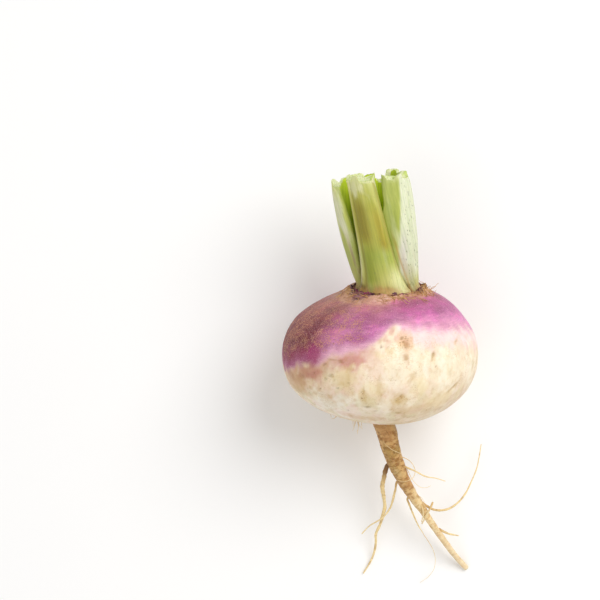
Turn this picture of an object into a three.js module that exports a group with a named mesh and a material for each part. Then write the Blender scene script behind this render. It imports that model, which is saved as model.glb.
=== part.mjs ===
// A purple-top turnip, pulled and trimmed: a squat bulb that runs out into a bent taproot,
// side roots on the taproot, and a bunch of cut leaf stalks on a corky crown with the torn
// scales of older leaves round it. It lies on its side, on a small flat spot of the bulb and
// the tip of the taproot.
//
// Millimetres, +Z up, origin at the middle of the flat spot. The turnip is modelled standing
// in the plant frame: origin at the middle of the bulb, +Z towards the leaves, -Y the side
// that faces up once it lies. One rotation and one shift then lay it down.

import * as THREE from 'three';

// ---- Driving dimensions --------------------------------------------------------------------

const BULB_RADIUS = 37.5;
const BULB_HALF_HEIGHT = 26.5;
const LOWER_SQUARENESS = 2.25; // superellipse exponent under the widest line; 2 is a plain ellipse
const TILT = THREE.MathUtils.degToRad(18); // how far the crown end is raised as it lies
const FLAT_DEPTH = 0.8; // how much the flat spot takes off the round bulb

const CROWN_RADIUS = 15.5; // outer edge of the corky collar
const CROWN_HEIGHT = 26.0; // crown above the middle of the bulb
const CROWN_SHIFT = 2.8; // the crown grew this far off the bulb's axis, along +X

const NECK_Z = -27.5; // where the bulb's underside has become the taproot
const NECK_RADIUS = 4.1;

const STALK_BASE_Z = 26.5;
const BUNCH_BASE = new THREE.Vector2(CROWN_SHIFT, 0); // middle of the bunch at the crown
const BUNCH_TOP = new THREE.Vector2(-3.2, 0); // and at its cut ends: the bunch leans

const GAP = 0.3; // clear space between neighbouring pieces

// ---- Small helpers -------------------------------------------------------------------------

const UP = new THREE.Vector3(0, -Math.cos(TILT), Math.sin(TILT)); // "up as it lies", plant frame
const DOWN_THE_ROOT = new THREE.Vector3(0, 0, -1);

const polar = (degrees, radius) => {
  const a = THREE.MathUtils.degToRad(degrees);
  return new THREE.Vector2(radius * Math.cos(a), radius * Math.sin(a));
};

const smooth = (from, to, x) => THREE.MathUtils.smoothstep(x, from, to);

// Moves every vertex of a geometry by a function that changes the point it is given.
function reshape(geometry, move) {
  const positions = geometry.getAttribute('position');
  const p = new THREE.Vector3();
  for (let i = 0; i < positions.count; i++) {
    p.fromBufferAttribute(positions, i);
    move(p);
    positions.setXYZ(i, p.x, p.y, p.z);
  }
  geometry.computeVertexNormals();
  return geometry;
}

// A curve whose radius follows a function of the distance along it, as a closed round tube.
function taperedTube(curve, radiusAt, sides, steps) {
  const turn = new THREE.Quaternion();
  const along = new THREE.Vector3();
  return reshape(new THREE.CylinderGeometry(1, 1, 1, sides, steps), (p) => {
    const t = 0.5 - p.y;
    along.copy(curve.getTangentAt(t));
    turn.setFromUnitVectors(DOWN_THE_ROOT, along);
    p.set(p.x * radiusAt(t), -p.z * radiusAt(t), 0).applyQuaternion(turn).add(curve.getPointAt(t));
  });
}

const through = (points) => new THREE.CatmullRomCurve3(points.map((xyz) => new THREE.Vector3(...xyz)));

// ---- Materials -----------------------------------------------------------------------------

const skin = new THREE.MeshStandardMaterial({ color: 0xb9789a, roughness: 0.5, metalness: 0 });
const stalkGreen = new THREE.MeshStandardMaterial({ color: 0xb4c46a, roughness: 0.45, metalness: 0 });
const scalePurple = new THREE.MeshStandardMaterial({ color: 0x6b2f4f, roughness: 0.7, metalness: 0 });
const rootTan = new THREE.MeshStandardMaterial({ color: 0xd9bf8d, roughness: 0.75, metalness: 0 });

// ---- Bulb and taproot, one grown piece -----------------------------------------------------

const ROOT_LINE = through([
  [1.4, 0.0, NECK_Z],
  [2.5, -0.1, -31.0],
  [4.3, -0.2, -37.8],
  [6.4, 0.1, -44.5],
  [9.4, 0.5, -51.3],
  [12.4, 1.0, -56.8],
  [15.9, 1.8, -62.2],
  [22.6, 3.8, -73.1],
  [30.1, 6.4, -84.4],
  [34.4, 8.1, -90.0],
]);

// The taproot's radius at shares of its length: thick at the neck, quick to thin half way.
const ROOT_RADII = [
  [0, NECK_RADIUS], [0.12, 3.65], [0.25, 3.15], [0.36, 2.5], [0.46, 2.05], [0.56, 1.6], [0.7, 1.3],
  [0.85, 1.15], [1, 1.0],
];

function rootRadius(t) {
  const next = Math.max(1, ROOT_RADII.findIndex(([share]) => share >= t));
  const [[fromShare, from], [toShare, to]] = [ROOT_RADII[next - 1], ROOT_RADII[next]];
  return THREE.MathUtils.mapLinear(t, fromShare, toShare, from, to);
}

// The turned outline, from the tip of the taproot to the middle of the crown: (radius, height).
function bulbOutline() {
  const ROOT_RINGS = 20;
  const LOWER_RINGS = 13;
  const UPPER_RINGS = 11;
  const UNDERSIDE_END = 7.5; // radius at which the underside turns down into the neck
  const SHOULDER_END = 18; // radius at which the shoulder meets the crown
  const outline = [new THREE.Vector2(0, NECK_Z - ROOT_LINE.getLength())];
  for (let i = ROOT_RINGS; i >= 0; i--) {
    const t = i / ROOT_RINGS;
    outline.push(new THREE.Vector2(rootRadius(t), NECK_Z - t * ROOT_LINE.getLength()));
  }
  outline.push(new THREE.Vector2(4.9, NECK_Z + 0.9));
  const lower = 2 / LOWER_SQUARENESS;
  const lowerFrom = Math.acos((UNDERSIDE_END / BULB_RADIUS) ** (1 / lower));
  for (let i = 0; i < LOWER_RINGS; i++) {
    const a = lowerFrom * (1 - i / LOWER_RINGS);
    outline.push(
      new THREE.Vector2(BULB_RADIUS * Math.cos(a) ** lower, -BULB_HALF_HEIGHT * Math.sin(a) ** lower),
    );
  }
  const upperTo = Math.acos(SHOULDER_END / BULB_RADIUS);
  for (let i = 0; i <= UPPER_RINGS; i++) {
    const a = (upperTo * i) / UPPER_RINGS;
    outline.push(new THREE.Vector2(BULB_RADIUS * Math.cos(a), BULB_HALF_HEIGHT * Math.sin(a)));
  }
  outline.push(
    new THREE.Vector2(CROWN_RADIUS + 0.6, CROWN_HEIGHT - 1.6),
    new THREE.Vector2(CROWN_RADIUS - 0.7, CROWN_HEIGHT - 0.3),
    new THREE.Vector2(CROWN_RADIUS - 1.9, CROWN_HEIGHT - 0.2),
    new THREE.Vector2(CROWN_RADIUS - 3.1, CROWN_HEIGHT - 0.8),
    new THREE.Vector2(CROWN_RADIUS - 4.5, CROWN_HEIGHT - 0.2),
    new THREE.Vector2(0, CROWN_HEIGHT),
  );
  return outline;
}

// Bends the straight taproot of the turned shape along its line.
function bendRoot(p) {
  if (p.z >= NECK_Z) return;
  const t = Math.min(1, (NECK_Z - p.z) / ROOT_LINE.getLength());
  const turn = new THREE.Quaternion().setFromUnitVectors(DOWN_THE_ROOT, ROOT_LINE.getTangentAt(t));
  p.setZ(0).applyQuaternion(turn).add(ROOT_LINE.getPointAt(t));
}

// The bulb isn't quite round: low lobes, a crown off its axis, an underside that is fuller on the
// +X side, and a neck that leads to the root.
function makeUneven(p) {
  if (p.z < NECK_Z) return;
  const a = Math.atan2(p.y, p.x);
  const widest = 1 - Math.min(1, Math.abs(p.z) / BULB_HALF_HEIGHT) ** 2;
  const lobes = 0.006 * Math.sin(2 * a + 0.6) + 0.005 * Math.sin(3 * a + 2.0) + 0.003 * Math.sin(5 * a);
  const lift = THREE.MathUtils.lerp(0.3, 1.5, smooth(-20, 25, -p.x)) * smooth(4.5, 9, Math.hypot(p.x, p.y));
  const under = smooth(4, 22, -p.z);
  p.x *= 1 + lobes * widest;
  p.y *= 1 + lobes * widest;
  p.x += CROWN_SHIFT * smooth(12, 25, p.z) + ROOT_LINE.getPointAt(0).x * smooth(20, -NECK_Z, -p.z);
  p.z += lift * under;
}

const heightOf = (p) => p.dot(UP);

function bulbAndTaproot() {
  const SEGMENTS = 48;
  const geometry = new THREE.LatheGeometry(bulbOutline(), SEGMENTS).rotateX(Math.PI / 2);
  return reshape(geometry, (p) => {
    makeUneven(p);
    bendRoot(p);
  });
}

// How high the middle of the bulb lies once the flat spot is off, and the flat spot's own middle.
function restOf(geometry) {
  const positions = geometry.getAttribute('position');
  const points = [];
  for (let i = 0; i < positions.count; i++) {
    const p = new THREE.Vector3().fromBufferAttribute(positions, i);
    if (p.z > NECK_Z) points.push(p);
  }
  const height = -Math.min(...points.map(heightOf)) - FLAT_DEPTH;
  const flat = new THREE.Box3().setFromPoints(points.filter((p) => heightOf(p) < -height));
  return { height, middle: flat.getCenter(new THREE.Vector3()) };
}

const bulb = bulbAndTaproot();
const rest = restOf(bulb);

// Anything that would reach under the surface is pressed flat on it.
function pressFlat(p) {
  const under = -rest.height - heightOf(p);
  if (under > 0) p.addScaledVector(UP, under);
}

// ---- Leaf stalks ---------------------------------------------------------------------------

// Each stalk is a crescent in section, curled round the bunch. Values come in threes: at the base,
// half way and at the cut. Directions are in degrees about the bunch, from +X towards +Y; out is
// the distance from the bunch's middle, and turn swings the crescent's back away from that
// direction. flare is how much wider the clasping base gets in its last part.
const STALKS = [
  {
    name: 'leaf_stalk_front', top: 70.4, direction: [-98, -105, -112], out: [9.9, 10.5, 10.8], flare: 6.2,
    width: [14.8, 12.6, 10.8], thickness: [3.6, 4.5, 5.4], curl: [0.09, 0.07, 0.05], turn: [0, -3, -6],
  },
  {
    name: 'leaf_stalk_right', top: 70.0, direction: [-8, -32.5, -43], out: [9.5, 11.9, 12.4], flare: 0,
    width: [9.6, 14.3, 11.5], thickness: [4.4, 5.0, 5.6], curl: [0.1, 0.08, 0.06], turn: [0, -5, -10],
  },
  {
    name: 'leaf_stalk_back_right', top: 68.6, direction: [50, 43, 36], out: [8.4, 10.6, 11.6], flare: 0,
    width: [8.4, 9.2, 9.4], thickness: [4.4, 4.8, 5.2], curl: [0.1, 0.08, 0.06], turn: [0, 3, 6],
  },
  {
    name: 'leaf_stalk_back', top: 67.0, direction: [110, 109, 108], out: [8.2, 10.2, 11.2], flare: 0,
    width: [8.4, 9.4, 9.8], thickness: [4.2, 4.8, 5.4], curl: [0.1, 0.08, 0.06], turn: [0, 0, 0],
  },
  {
    name: 'leaf_stalk_left', top: 67.4, direction: [172, 180, 180], out: [9.0, 12.0, 11.7], flare: 0,
    width: [9.0, 14.0, 10.0], thickness: [4.2, 4.6, 5.0], curl: [0.1, 0.15, 0.08], turn: [0, -6, -24],
  },
  {
    name: 'leaf_stalk_inner_front', top: 68.8, direction: [-90, -80, -64], out: [2.4, 4.0, 6.2], flare: 0,
    width: [6.4, 6.8, 7.2], thickness: [3.2, 3.6, 4.0], curl: [0.05, 0.05, 0.05], turn: [0, 0, 0],
  },
  {
    name: 'leaf_stalk_inner_back', top: 65.0, direction: [90, 108, 128], out: [2.4, 3.2, 3.6], flare: 0,
    width: [6.4, 6.3, 6.2], thickness: [3.2, 3.6, 4.0], curl: [0.05, 0.05, 0.05], turn: [0, 0, 0],
  },
];

// A smooth value through its three knots: base, middle and top.
const bow = ([base, middle, top], t) =>
  base * (1 - t) * (1 - 2 * t) + middle * 4 * t * (1 - t) + top * t * (2 * t - 1);

// A point of the crescent section: angle runs once round it, from one edge over the back.
function crescent(angle, width, thickness, curl) {
  const across = (width / 2) * Math.cos(angle);
  const back = 0.56 * thickness * Math.max(0, Math.sin(angle));
  const front = 0.44 * thickness * Math.max(0, -Math.sin(angle)) ** 0.6;
  const radius = 1 / curl + back - front;
  return new THREE.Vector2(radius * Math.cos(across * curl) - 1 / curl, radius * Math.sin(across * curl));
}

function leafStalk(s) {
  const SIDES = 18;
  const STEPS = 8;
  const CUT_SLOPE = 0.06; // the knife went through a little off square
  return reshape(new THREE.CylinderGeometry(1, 1, 1, SIDES, STEPS), (p) => {
    const t = p.y + 0.5;
    const centre = Math.hypot(p.x, p.z) < 0.5;
    const direction = bow(s.direction, t);
    const width = bow(s.width, t) + s.flare * (1 - t) ** 8;
    const middle = new THREE.Vector2().lerpVectors(BUNCH_BASE, BUNCH_TOP, t);
    middle.add(polar(direction, bow(s.out, t)));
    const section = centre
      ? new THREE.Vector2()
      : crescent(Math.atan2(p.z, p.x), width, bow(s.thickness, t), bow(s.curl, t));
    section.rotateAround(new THREE.Vector2(), THREE.MathUtils.degToRad(direction + bow(s.turn, t)));
    middle.add(section);
    const z = THREE.MathUtils.lerp(STALK_BASE_Z, s.top, t) + CUT_SLOPE * t * middle.x;
    p.set(middle.x, middle.y, z);
  });
}

// ---- Scales: the torn bases of older leaves, in a ring round the bunch ----------------------

const SCALES = [
  { direction: -174, width: 6.2, height: 2.4 },
  { direction: -22, width: 5.4, height: 3.6 },
  { direction: 28, width: 6.6, height: 2.6 },
  { direction: 76, width: 5.6, height: 3.2 },
  { direction: 122, width: 6.8, height: 2.2 },
];

function leafScale({ direction, width, height }) {
  const RING = CROWN_RADIUS - 2.3; // distance of the scale's middle from the bunch's axis
  const THICKNESS = 0.9;
  const FLOOR = CROWN_HEIGHT - 0.2 + GAP;
  return reshape(new THREE.BoxGeometry(width, THICKNESS, height, 6, 1, 3), (p) => {
    const up = p.z / height + 0.5;
    const across = -p.x * (1 - 0.35 * up);
    const crest = 1 - 0.5 * up * (2 * Math.abs(p.x / width)) ** 2;
    const out = RING + p.y * (1 - 0.45 * up) - 0.5 * up;
    const a = THREE.MathUtils.degToRad(direction) + across / RING;
    p.set(CROWN_SHIFT + out * Math.cos(a), out * Math.sin(a), FLOOR + height * up * crest);
  });
}

// ---- Side roots ----------------------------------------------------------------------------

// Each starts just off the taproot and wanders down; radius is at its start and at its end.
const SIDE_ROOTS = [
  {
    name: 'side_root_left', radius: [0.95, 0.4],
    points: [[2.5, 1.2, -47.2], [1.7, 1.9, -50.7], [1.1, 2.9, -54.1], [1.7, 4.2, -59.7], [2.0, 5.5, -64.3],
      [1.2, 6.2, -67.6], [0.2, 7.1, -71.6], [-1.5, 7.8, -76.0], [-1.5, 8.2, -79.3], [-2.3, 8.6, -84.2],
      [-3.5, 8.5, -87.3], [-6.5, 7.5, -92.2]],
  },
  {
    name: 'side_root_crossing', radius: [0.5, 0.35],
    points: [[6.6, 1.9, -53.4], [6.1, 2.2, -55.9], [5.1, 3.0, -60.3], [4.4, 3.5, -63.0], [1.9, 3.7, -66.9],
      [-0.3, 4.5, -69.0], [-3.8, 6.0, -71.7], [-7.0, 7.2, -75.5]],
  },
  {
    name: 'side_root_lower', radius: [0.5, 0.35],
    points: [[10.9, 2.8, -60.0], [11.6, 2.9, -61.8], [13.2, 2.9, -66.0], [15.0, 3.4, -70.3],
      [17.0, 3.8, -73.9]],
  },
  {
    name: 'side_root_arc', radius: [0.5, 0.3],
    points: [[18.8, 2.5, -62.5], [21.4, 3.2, -64.1], [24.4, 4.0, -64.6], [27.3, 5.2, -64.3],
      [30.3, 6.7, -62.8], [33.4, 8.8, -59.9], [36.2, 12.1, -55.5], [38.5, 15.1, -50.7],
      [39.6, 17.6, -46.3], [40.4, 20.2, -42.4]],
  },
  {
    name: 'side_root_upper', radius: [0.45, 0.35],
    points: [[10.6, -0.1, -45.6], [13.8, -0.4, -47.2], [18.2, -0.6, -49.4], [21.7, -0.5, -50.0],
      [25.6, -0.6, -51.2]],
  },
  {
    name: 'side_root_tip', radius: [0.6, 0.35],
    points: [[25.0, 4.35, -73.3], [26.9, 4.7, -74.4], [31.2, 5.8, -75.7]],
  },
];

function sideRoot({ points, radius: [from, to] }) {
  const SIDES = 7;
  const curve = through(points);
  const steps = Math.ceil(curve.getLength() / 3);
  return reshape(taperedTube(curve, (t) => THREE.MathUtils.lerp(from, to, t), SIDES, steps), pressFlat);
}

// ---- Assembly ------------------------------------------------------------------------------

function piece(name, geometry, material) {
  const mesh = new THREE.Mesh(geometry, material);
  mesh.name = name;
  return mesh;
}

const plant = new THREE.Group();
plant.add(piece('bulb_and_taproot', reshape(bulb, pressFlat), skin));
STALKS.forEach((s) => plant.add(piece(s.name, leafStalk(s), stalkGreen)));
SCALES.forEach((s, i) => plant.add(piece(`leaf_scale_${i + 1}`, leafScale(s), scalePurple)));
SIDE_ROOTS.forEach((s) => plant.add(piece(s.name, sideRoot(s), rootTan)));

// Lay it down: the plant's -Y side turns up, its crown end points along +Y and is raised by TILT.
plant.rotation.x = TILT - Math.PI / 2;
const flatSpot = rest.middle.clone().applyEuler(plant.rotation);
plant.position.set(-flatSpot.x, -flatSpot.y, rest.height);

const turnip = new THREE.Group();
turnip.name = 'turnip';
turnip.add(plant);

export default turnip;
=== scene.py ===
import math

import bmesh
import bpy
import numpy as np
from mathutils import Matrix, Vector


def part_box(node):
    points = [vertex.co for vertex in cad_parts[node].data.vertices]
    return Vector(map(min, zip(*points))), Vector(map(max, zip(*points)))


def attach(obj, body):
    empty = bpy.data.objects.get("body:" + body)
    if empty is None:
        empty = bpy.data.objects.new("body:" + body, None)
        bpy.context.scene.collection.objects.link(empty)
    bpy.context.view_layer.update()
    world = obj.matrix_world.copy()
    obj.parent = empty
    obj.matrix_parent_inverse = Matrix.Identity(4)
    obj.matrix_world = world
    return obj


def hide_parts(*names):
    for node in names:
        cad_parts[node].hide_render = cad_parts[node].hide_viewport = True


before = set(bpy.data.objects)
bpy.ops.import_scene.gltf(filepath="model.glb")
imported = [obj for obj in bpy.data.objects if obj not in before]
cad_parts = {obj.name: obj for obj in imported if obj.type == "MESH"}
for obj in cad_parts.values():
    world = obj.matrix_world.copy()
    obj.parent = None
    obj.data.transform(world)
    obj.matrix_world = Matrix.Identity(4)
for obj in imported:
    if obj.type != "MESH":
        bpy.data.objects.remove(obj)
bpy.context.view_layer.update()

# A purple-top turnip lying on its side. Everything is made in the plant frame, in millimetres:
# origin at the middle of the bulb, +Z towards the leaves, -Y the side that faces up as it lies.
# to_row() turns that into the row frame, in metres.

MM = 0.001

BULB_RADIUS = 37.5
BULB_HALF_HEIGHT = 26.5
LOWER_SQUARENESS = 2.25
TILT = math.radians(18)
CROWN_HEIGHT = 26.0
CROWN_SHIFT = 2.8
NECK_Z = -27.5
NECK_RADIUS = 4.1
STALK_BASE_Z = 26.5
STALK_LENGTH = 45
BUNCH_BASE = (CROWN_SHIFT, 0.0)
BUNCH_TOP = (-3.2, 0.0)

# ---- Numbers, noise and lines --------------------------------------------------------------


def lerp(a, b, t):
    return a + (b - a) * t


def smooth(a, b, x):
    t = np.clip((np.asarray(x, float) - a) / (b - a), 0, 1)
    return t * t * (3 - 2 * t)


def rgb(r, g, b):
    """An sRGB colour, 0 to 255, as linear light."""
    c = np.array([r, g, b], float) / 255
    return np.where(c <= 0.04045, c / 12.92, ((c + 0.055) / 1.055) ** 2.4)


def wash(colour, tone, where):
    """colour drawn towards an sRGB tone by the weights where."""
    return lerp(colour, rgb(*tone), np.asarray(where)[..., None])


def ridge(x, where, wide):
    return np.exp(-(((x - where) / wide) ** 2))


def lattice(x, y, z, seed):
    h = (x * 73856093) ^ (y * 19349663) ^ (z * 83492791) ^ (seed * 40503)
    h = ((h ^ (h >> 13)) * 1274126177) & 0x7FFFFFFF
    return ((h ^ (h >> 15)) & 0xFFFF) / 0xFFFF


def noise(p, seed=0):
    """Smooth noise, about -1 to 1, at points p of shape (n, 3)."""
    cell = np.floor(p).astype(np.int64)
    f = p - cell
    f = f * f * (3 - 2 * f)
    total = np.zeros(len(p))
    for dx in (0, 1):
        for dy in (0, 1):
            for dz in (0, 1):
                w = np.abs(1 - dx - f[:, 0]) * np.abs(1 - dy - f[:, 1]) * np.abs(1 - dz - f[:, 2])
                total += w * lattice(cell[:, 0] + dx, cell[:, 1] + dy, cell[:, 2] + dz, seed)
    return 2 * total - 1


def fbm(p, octaves=4, seed=0):
    total, size = np.zeros(len(p)), 0.5
    for k in range(octaves):
        total += size * noise(p * 2**k + 17.3 * k, seed + k)
        size *= 0.5
    return total


class Line:
    """A smooth line through points, read at shares of its length."""

    def __init__(self, points):
        p = np.array(points, float)
        knot = np.concatenate([[0], np.cumsum(np.linalg.norm(np.diff(p, axis=0), axis=1))])
        slope = np.gradient(p, knot, axis=0)
        x = np.linspace(0, knot[-1], 60 * len(p))
        i = np.clip(np.searchsorted(knot, x) - 1, 0, len(knot) - 2)
        width = (knot[i + 1] - knot[i])[:, None]
        u = (x - knot[i])[:, None] / width
        self.points = (
            (2 * u**3 - 3 * u**2 + 1) * p[i]
            + (u**3 - 2 * u**2 + u) * width * slope[i]
            + (3 * u**2 - 2 * u**3) * p[i + 1]
            + (u**3 - u**2) * width * slope[i + 1]
        )
        gone = np.concatenate([[0], np.cumsum(np.linalg.norm(np.diff(self.points, axis=0), axis=1))])
        self.length = gone[-1]
        self.share = gone / gone[-1]

    def at(self, t):
        return np.stack([np.interp(t, self.share, self.points[:, k]) for k in range(3)], -1)

    def along(self, t):
        d = self.at(np.clip(t + 0.004, 0, 1)) - self.at(np.clip(t - 0.004, 0, 1))
        return d / np.linalg.norm(d, axis=-1, keepdims=True)


def turned(v, a, b):
    """v (n, 3) turned by the rotation that takes unit vector a to the unit vectors b (n, 3)."""
    axis = np.cross(np.broadcast_to(a, b.shape), b)
    first = np.cross(axis, v)
    return v + first + np.cross(axis, first) / (1 + b @ np.array(a, float))[:, None]


# ---- The shape that the CAD part has -------------------------------------------------------

ROOT_LINE = Line([
    (1.4, 0.0, NECK_Z), (2.5, -0.1, -31.0), (4.3, -0.2, -37.8), (6.4, 0.1, -44.5),
    (9.4, 0.5, -51.3), (12.4, 1.0, -56.8), (15.9, 1.8, -62.2), (22.6, 3.8, -73.1),
    (30.1, 6.4, -84.4), (34.4, 8.1, -90.0),
])


def root_radius(t):
    """The taproot's radius at shares of its length: quick to thin half way."""
    share = [0, 0.12, 0.25, 0.36, 0.46, 0.56, 0.7, 0.85, 1]
    return np.interp(t, share, [NECK_RADIUS, 3.65, 3.15, 2.5, 2.05, 1.6, 1.3, 1.15, 1.0])


def bulb_outline():
    """(radius, height) from the neck to the middle of the crown, finely stepped."""
    lower = 2 / LOWER_SQUARENESS
    a = np.linspace(math.acos((7.5 / BULB_RADIUS) ** (1 / lower)), 0, 60)
    under = np.stack([BULB_RADIUS * np.cos(a) ** lower, -BULB_HALF_HEIGHT * np.sin(a) ** lower], 1)
    a = np.linspace(0, math.acos(18 / BULB_RADIUS), 60)[1:]
    over = np.stack([BULB_RADIUS * np.cos(a), BULB_HALF_HEIGHT * np.sin(a)], 1)
    neck = [(NECK_RADIUS, NECK_Z), (4.45, -27.1), (5.1, -26.65), (6.1, -26.4)]
    crown = [(17.0, 24.1), (16.1, 24.85), (15.3, 25.4), (14.4, 25.8), (13.6, 25.9), (12.8, 25.6),
             (12.1, 25.45), (11.0, 25.75), (8.0, 25.9), (4.0, 25.95), (0.4, CROWN_HEIGHT)]
    flat = np.concatenate([neck, under, over, crown])
    return Line(np.column_stack([flat, np.zeros(len(flat))]))


def uneven(p):
    """The bulb's low lobes, its underside that is fuller on one side, its crown off the axis and
    its neck that leads to the root."""
    a = np.arctan2(p[:, 1], p[:, 0])
    widest = 1 - np.minimum(1, np.abs(p[:, 2]) / BULB_HALF_HEIGHT) ** 2
    lobes = 0.006 * np.sin(2 * a + 0.6) + 0.005 * np.sin(3 * a + 2.0) + 0.003 * np.sin(5 * a)
    grow = 1 + lobes * widest
    out = p.copy()
    out[:, 0] = p[:, 0] * grow + CROWN_SHIFT * smooth(12, 25, p[:, 2])
    out[:, 0] += ROOT_LINE.points[0, 0] * smooth(20, -NECK_Z, -p[:, 2])
    out[:, 1] = p[:, 1] * grow
    side = lerp(0.3, 1.5, smooth(20, -25, p[:, 0]))
    out[:, 2] += side * smooth(4, 22, -p[:, 2]) * smooth(4.5, 9, np.hypot(p[:, 0], p[:, 1]))
    return out


def bent(p):
    """Points of the straight taproot, moved to its bent line."""
    t = np.clip((NECK_Z - p[:, 2]) / ROOT_LINE.length, 0, 1)
    flat = np.column_stack([p[:, 0], p[:, 1], np.zeros(len(p))])
    return turned(flat, (0, 0, -1), ROOT_LINE.along(t)) + ROOT_LINE.at(t)


LAY = np.array(Matrix.Rotation(TILT - math.pi / 2, 3, "X"))


def lie(p):
    return np.asarray(p, float) @ LAY.T


def place_of_bulb():
    """Where the middle of the bulb is in the row frame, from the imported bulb's own box."""
    low, high = (np.array(c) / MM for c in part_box("bulb_and_taproot"))
    t = np.linspace(0, 1, 500)
    flat = bulb_outline().at(t)
    a = np.linspace(0, 2 * math.pi, 241)
    r, z = np.repeat(flat[:, 0], len(a)), np.repeat(flat[:, 1], len(a))
    a = np.tile(a, len(flat))
    p = lie(uneven(np.column_stack([r * np.cos(a), r * np.sin(a), z])))
    return np.array([low[0] - p[:, 0].min(), high[1] - p[:, 1].max(), high[2] - p[:, 2].max()])


PLACE = place_of_bulb()


def to_row(p):
    """Plant frame in millimetres to row frame in metres, pressed flat where it meets the surface."""
    row = lie(p) + PLACE
    row[:, 2] = np.maximum(row[:, 2], 0)
    return row * MM


# ---- Camera --------------------------------------------------------------------------------


def add_camera():
    """Nearly overhead, 4 degrees off towards the root; the bulb sits right of and under the middle."""
    LENS, SENSOR, FIELD = 120.0, 36.0, 230.8  # mm; FIELD is what the frame covers at the bulb
    RIGHT, DOWN = 0.265, 0.1767  # where the bulb is, in half frames from the middle
    data = bpy.data.cameras.new("camera")
    data.lens, data.sensor_width = LENS, SENSOR
    data.clip_start, data.clip_end = 0.01, 50
    camera = bpy.data.objects.new("camera", data)
    bpy.context.scene.collection.objects.link(camera)
    bpy.context.scene.camera = camera
    lean = math.radians(-4)
    towards = Vector((0, math.sin(lean), math.cos(lean)))
    right = Vector((1, 0, 0))
    up = towards.cross(right)
    base = Matrix((right, up, towards)).transposed()
    half_view = SENSOR / 2 / LENS
    aim = Vector((RIGHT * half_view, -DOWN * half_view, -1)).normalized()
    turn = aim.rotation_difference(Vector((0, 0, -1))).to_matrix()
    distance = FIELD * LENS / SENSOR * MM
    camera.matrix_world = (base @ turn).to_4x4()
    camera.location = Vector(PLACE * MM) + towards * distance


add_camera()

# ---- Meshes --------------------------------------------------------------------------------


def ring_faces(rows, cols, first=0):
    j, i = np.meshgrid(np.arange(rows - 1), np.arange(cols), indexing="ij")
    a, b = first + j * cols + i, first + j * cols + (i + 1) % cols
    return np.stack([a, b, b + cols, a + cols], -1).reshape(-1, 4).tolist()


def fan_faces(ring, centre):
    return [(int(ring[i]), int(ring[(i + 1) % len(ring)]), int(centre)) for i in range(len(ring))]


def make(name, points, faces, marks, material, nodes=()):
    """A closed mesh from row-frame points. marks are its per-vertex attributes."""
    mesh = bpy.data.meshes.new(name)
    mesh.from_pydata(points.tolist(), [], faces)
    for key, values in marks.items():
        values = np.asarray(values, np.float32)
        if values.ndim == 1:
            mesh.attributes.new(key, "FLOAT", "POINT").data.foreach_set("value", values)
        elif key == "paint":
            four = np.column_stack([values, np.ones(len(values), np.float32)])
            mesh.attributes.new(key, "FLOAT_COLOR", "POINT").data.foreach_set("color", four.ravel())
        else:
            mesh.attributes.new(key, "FLOAT_VECTOR", "POINT").data.foreach_set("vector", values.ravel())
    shape = bmesh.new()
    shape.from_mesh(mesh)
    bmesh.ops.recalc_face_normals(shape, faces=shape.faces)
    shape.to_mesh(mesh)
    shape.free()
    mesh.polygons.foreach_set("use_smooth", [True] * len(mesh.polygons))
    mesh.materials.append(material)
    piece = bpy.data.objects.new(name, mesh)
    bpy.context.scene.collection.objects.link(piece)
    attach(piece, "root")
    if nodes:
        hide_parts(*nodes)
    return piece


class Parts:
    """Gathers lofted bodies into the vertices, faces and marks of one mesh."""

    def __init__(self):
        self.points, self.faces, self.marks, self.count = [], [], {}, 0

    def loft(self, rings, marks, ends=(True, True)):
        """rings is (rows, cols, 3); marks hold (rows, cols) or (rows, cols, 3) values."""
        rows, cols = rings.shape[:2]
        flat = [rings.reshape(-1, 3)]
        extra = {k: [np.asarray(v).reshape(rows * cols, -1)] for k, v in marks.items()}
        faces = ring_faces(rows, cols, self.count)
        total = rows * cols
        for end, row in zip(ends, (0, rows - 1)):
            if not end:
                continue
            flat.append(rings[row].mean(0)[None])
            for k, v in marks.items():
                extra[k].append(np.asarray(v).reshape(rows, cols, -1)[row].mean(0)[None])
            ring = self.count + row * cols + np.arange(cols)
            faces += fan_faces(ring, self.count + total)
            total += 1
        self.points.append(np.concatenate(flat))
        self.faces += faces
        for k, v in extra.items():
            self.marks.setdefault(k, []).append(np.concatenate(v))
        self.count += total

    def finish(self, name, material, nodes=()):
        marks = {k: np.concatenate(v) for k, v in self.marks.items()}
        marks = {k: v[:, 0] if v.shape[1] == 1 else v for k, v in marks.items()}
        points = to_row(np.concatenate(self.points))
        return make(name, points, self.faces, marks, material, nodes)


def tube(points, radius, sides=8, step=0.7, rough=0.12, seed=0):
    """Rings of a thin root: radius is (start, end), its skin uneven by the share rough."""
    line = points if isinstance(points, Line) else Line(points)
    rows = max(4, int(line.length / step))
    t = np.linspace(0, 1, rows)
    a = np.linspace(0, 2 * math.pi, sides, endpoint=False)
    r = lerp(radius[0], radius[1], t)
    tt, aa = np.meshgrid(t, a, indexing="ij")
    at = line.at(tt.ravel())
    bumps = noise(at * 1.1 + 5.0 * seed, seed) + 0.6 * noise(at * 2.7, seed + 3)
    rr = np.repeat(r, sides) * (1 + rough * bumps)
    flat = np.column_stack([rr * np.cos(aa.ravel()), rr * np.sin(aa.ravel()), np.zeros(rows * sides)])
    rings = turned(flat, (0, 0, -1), line.along(tt.ravel())) + at
    return rings.reshape(rows, sides, 3), tt


# ---- Materials -----------------------------------------------------------------------------


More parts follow.
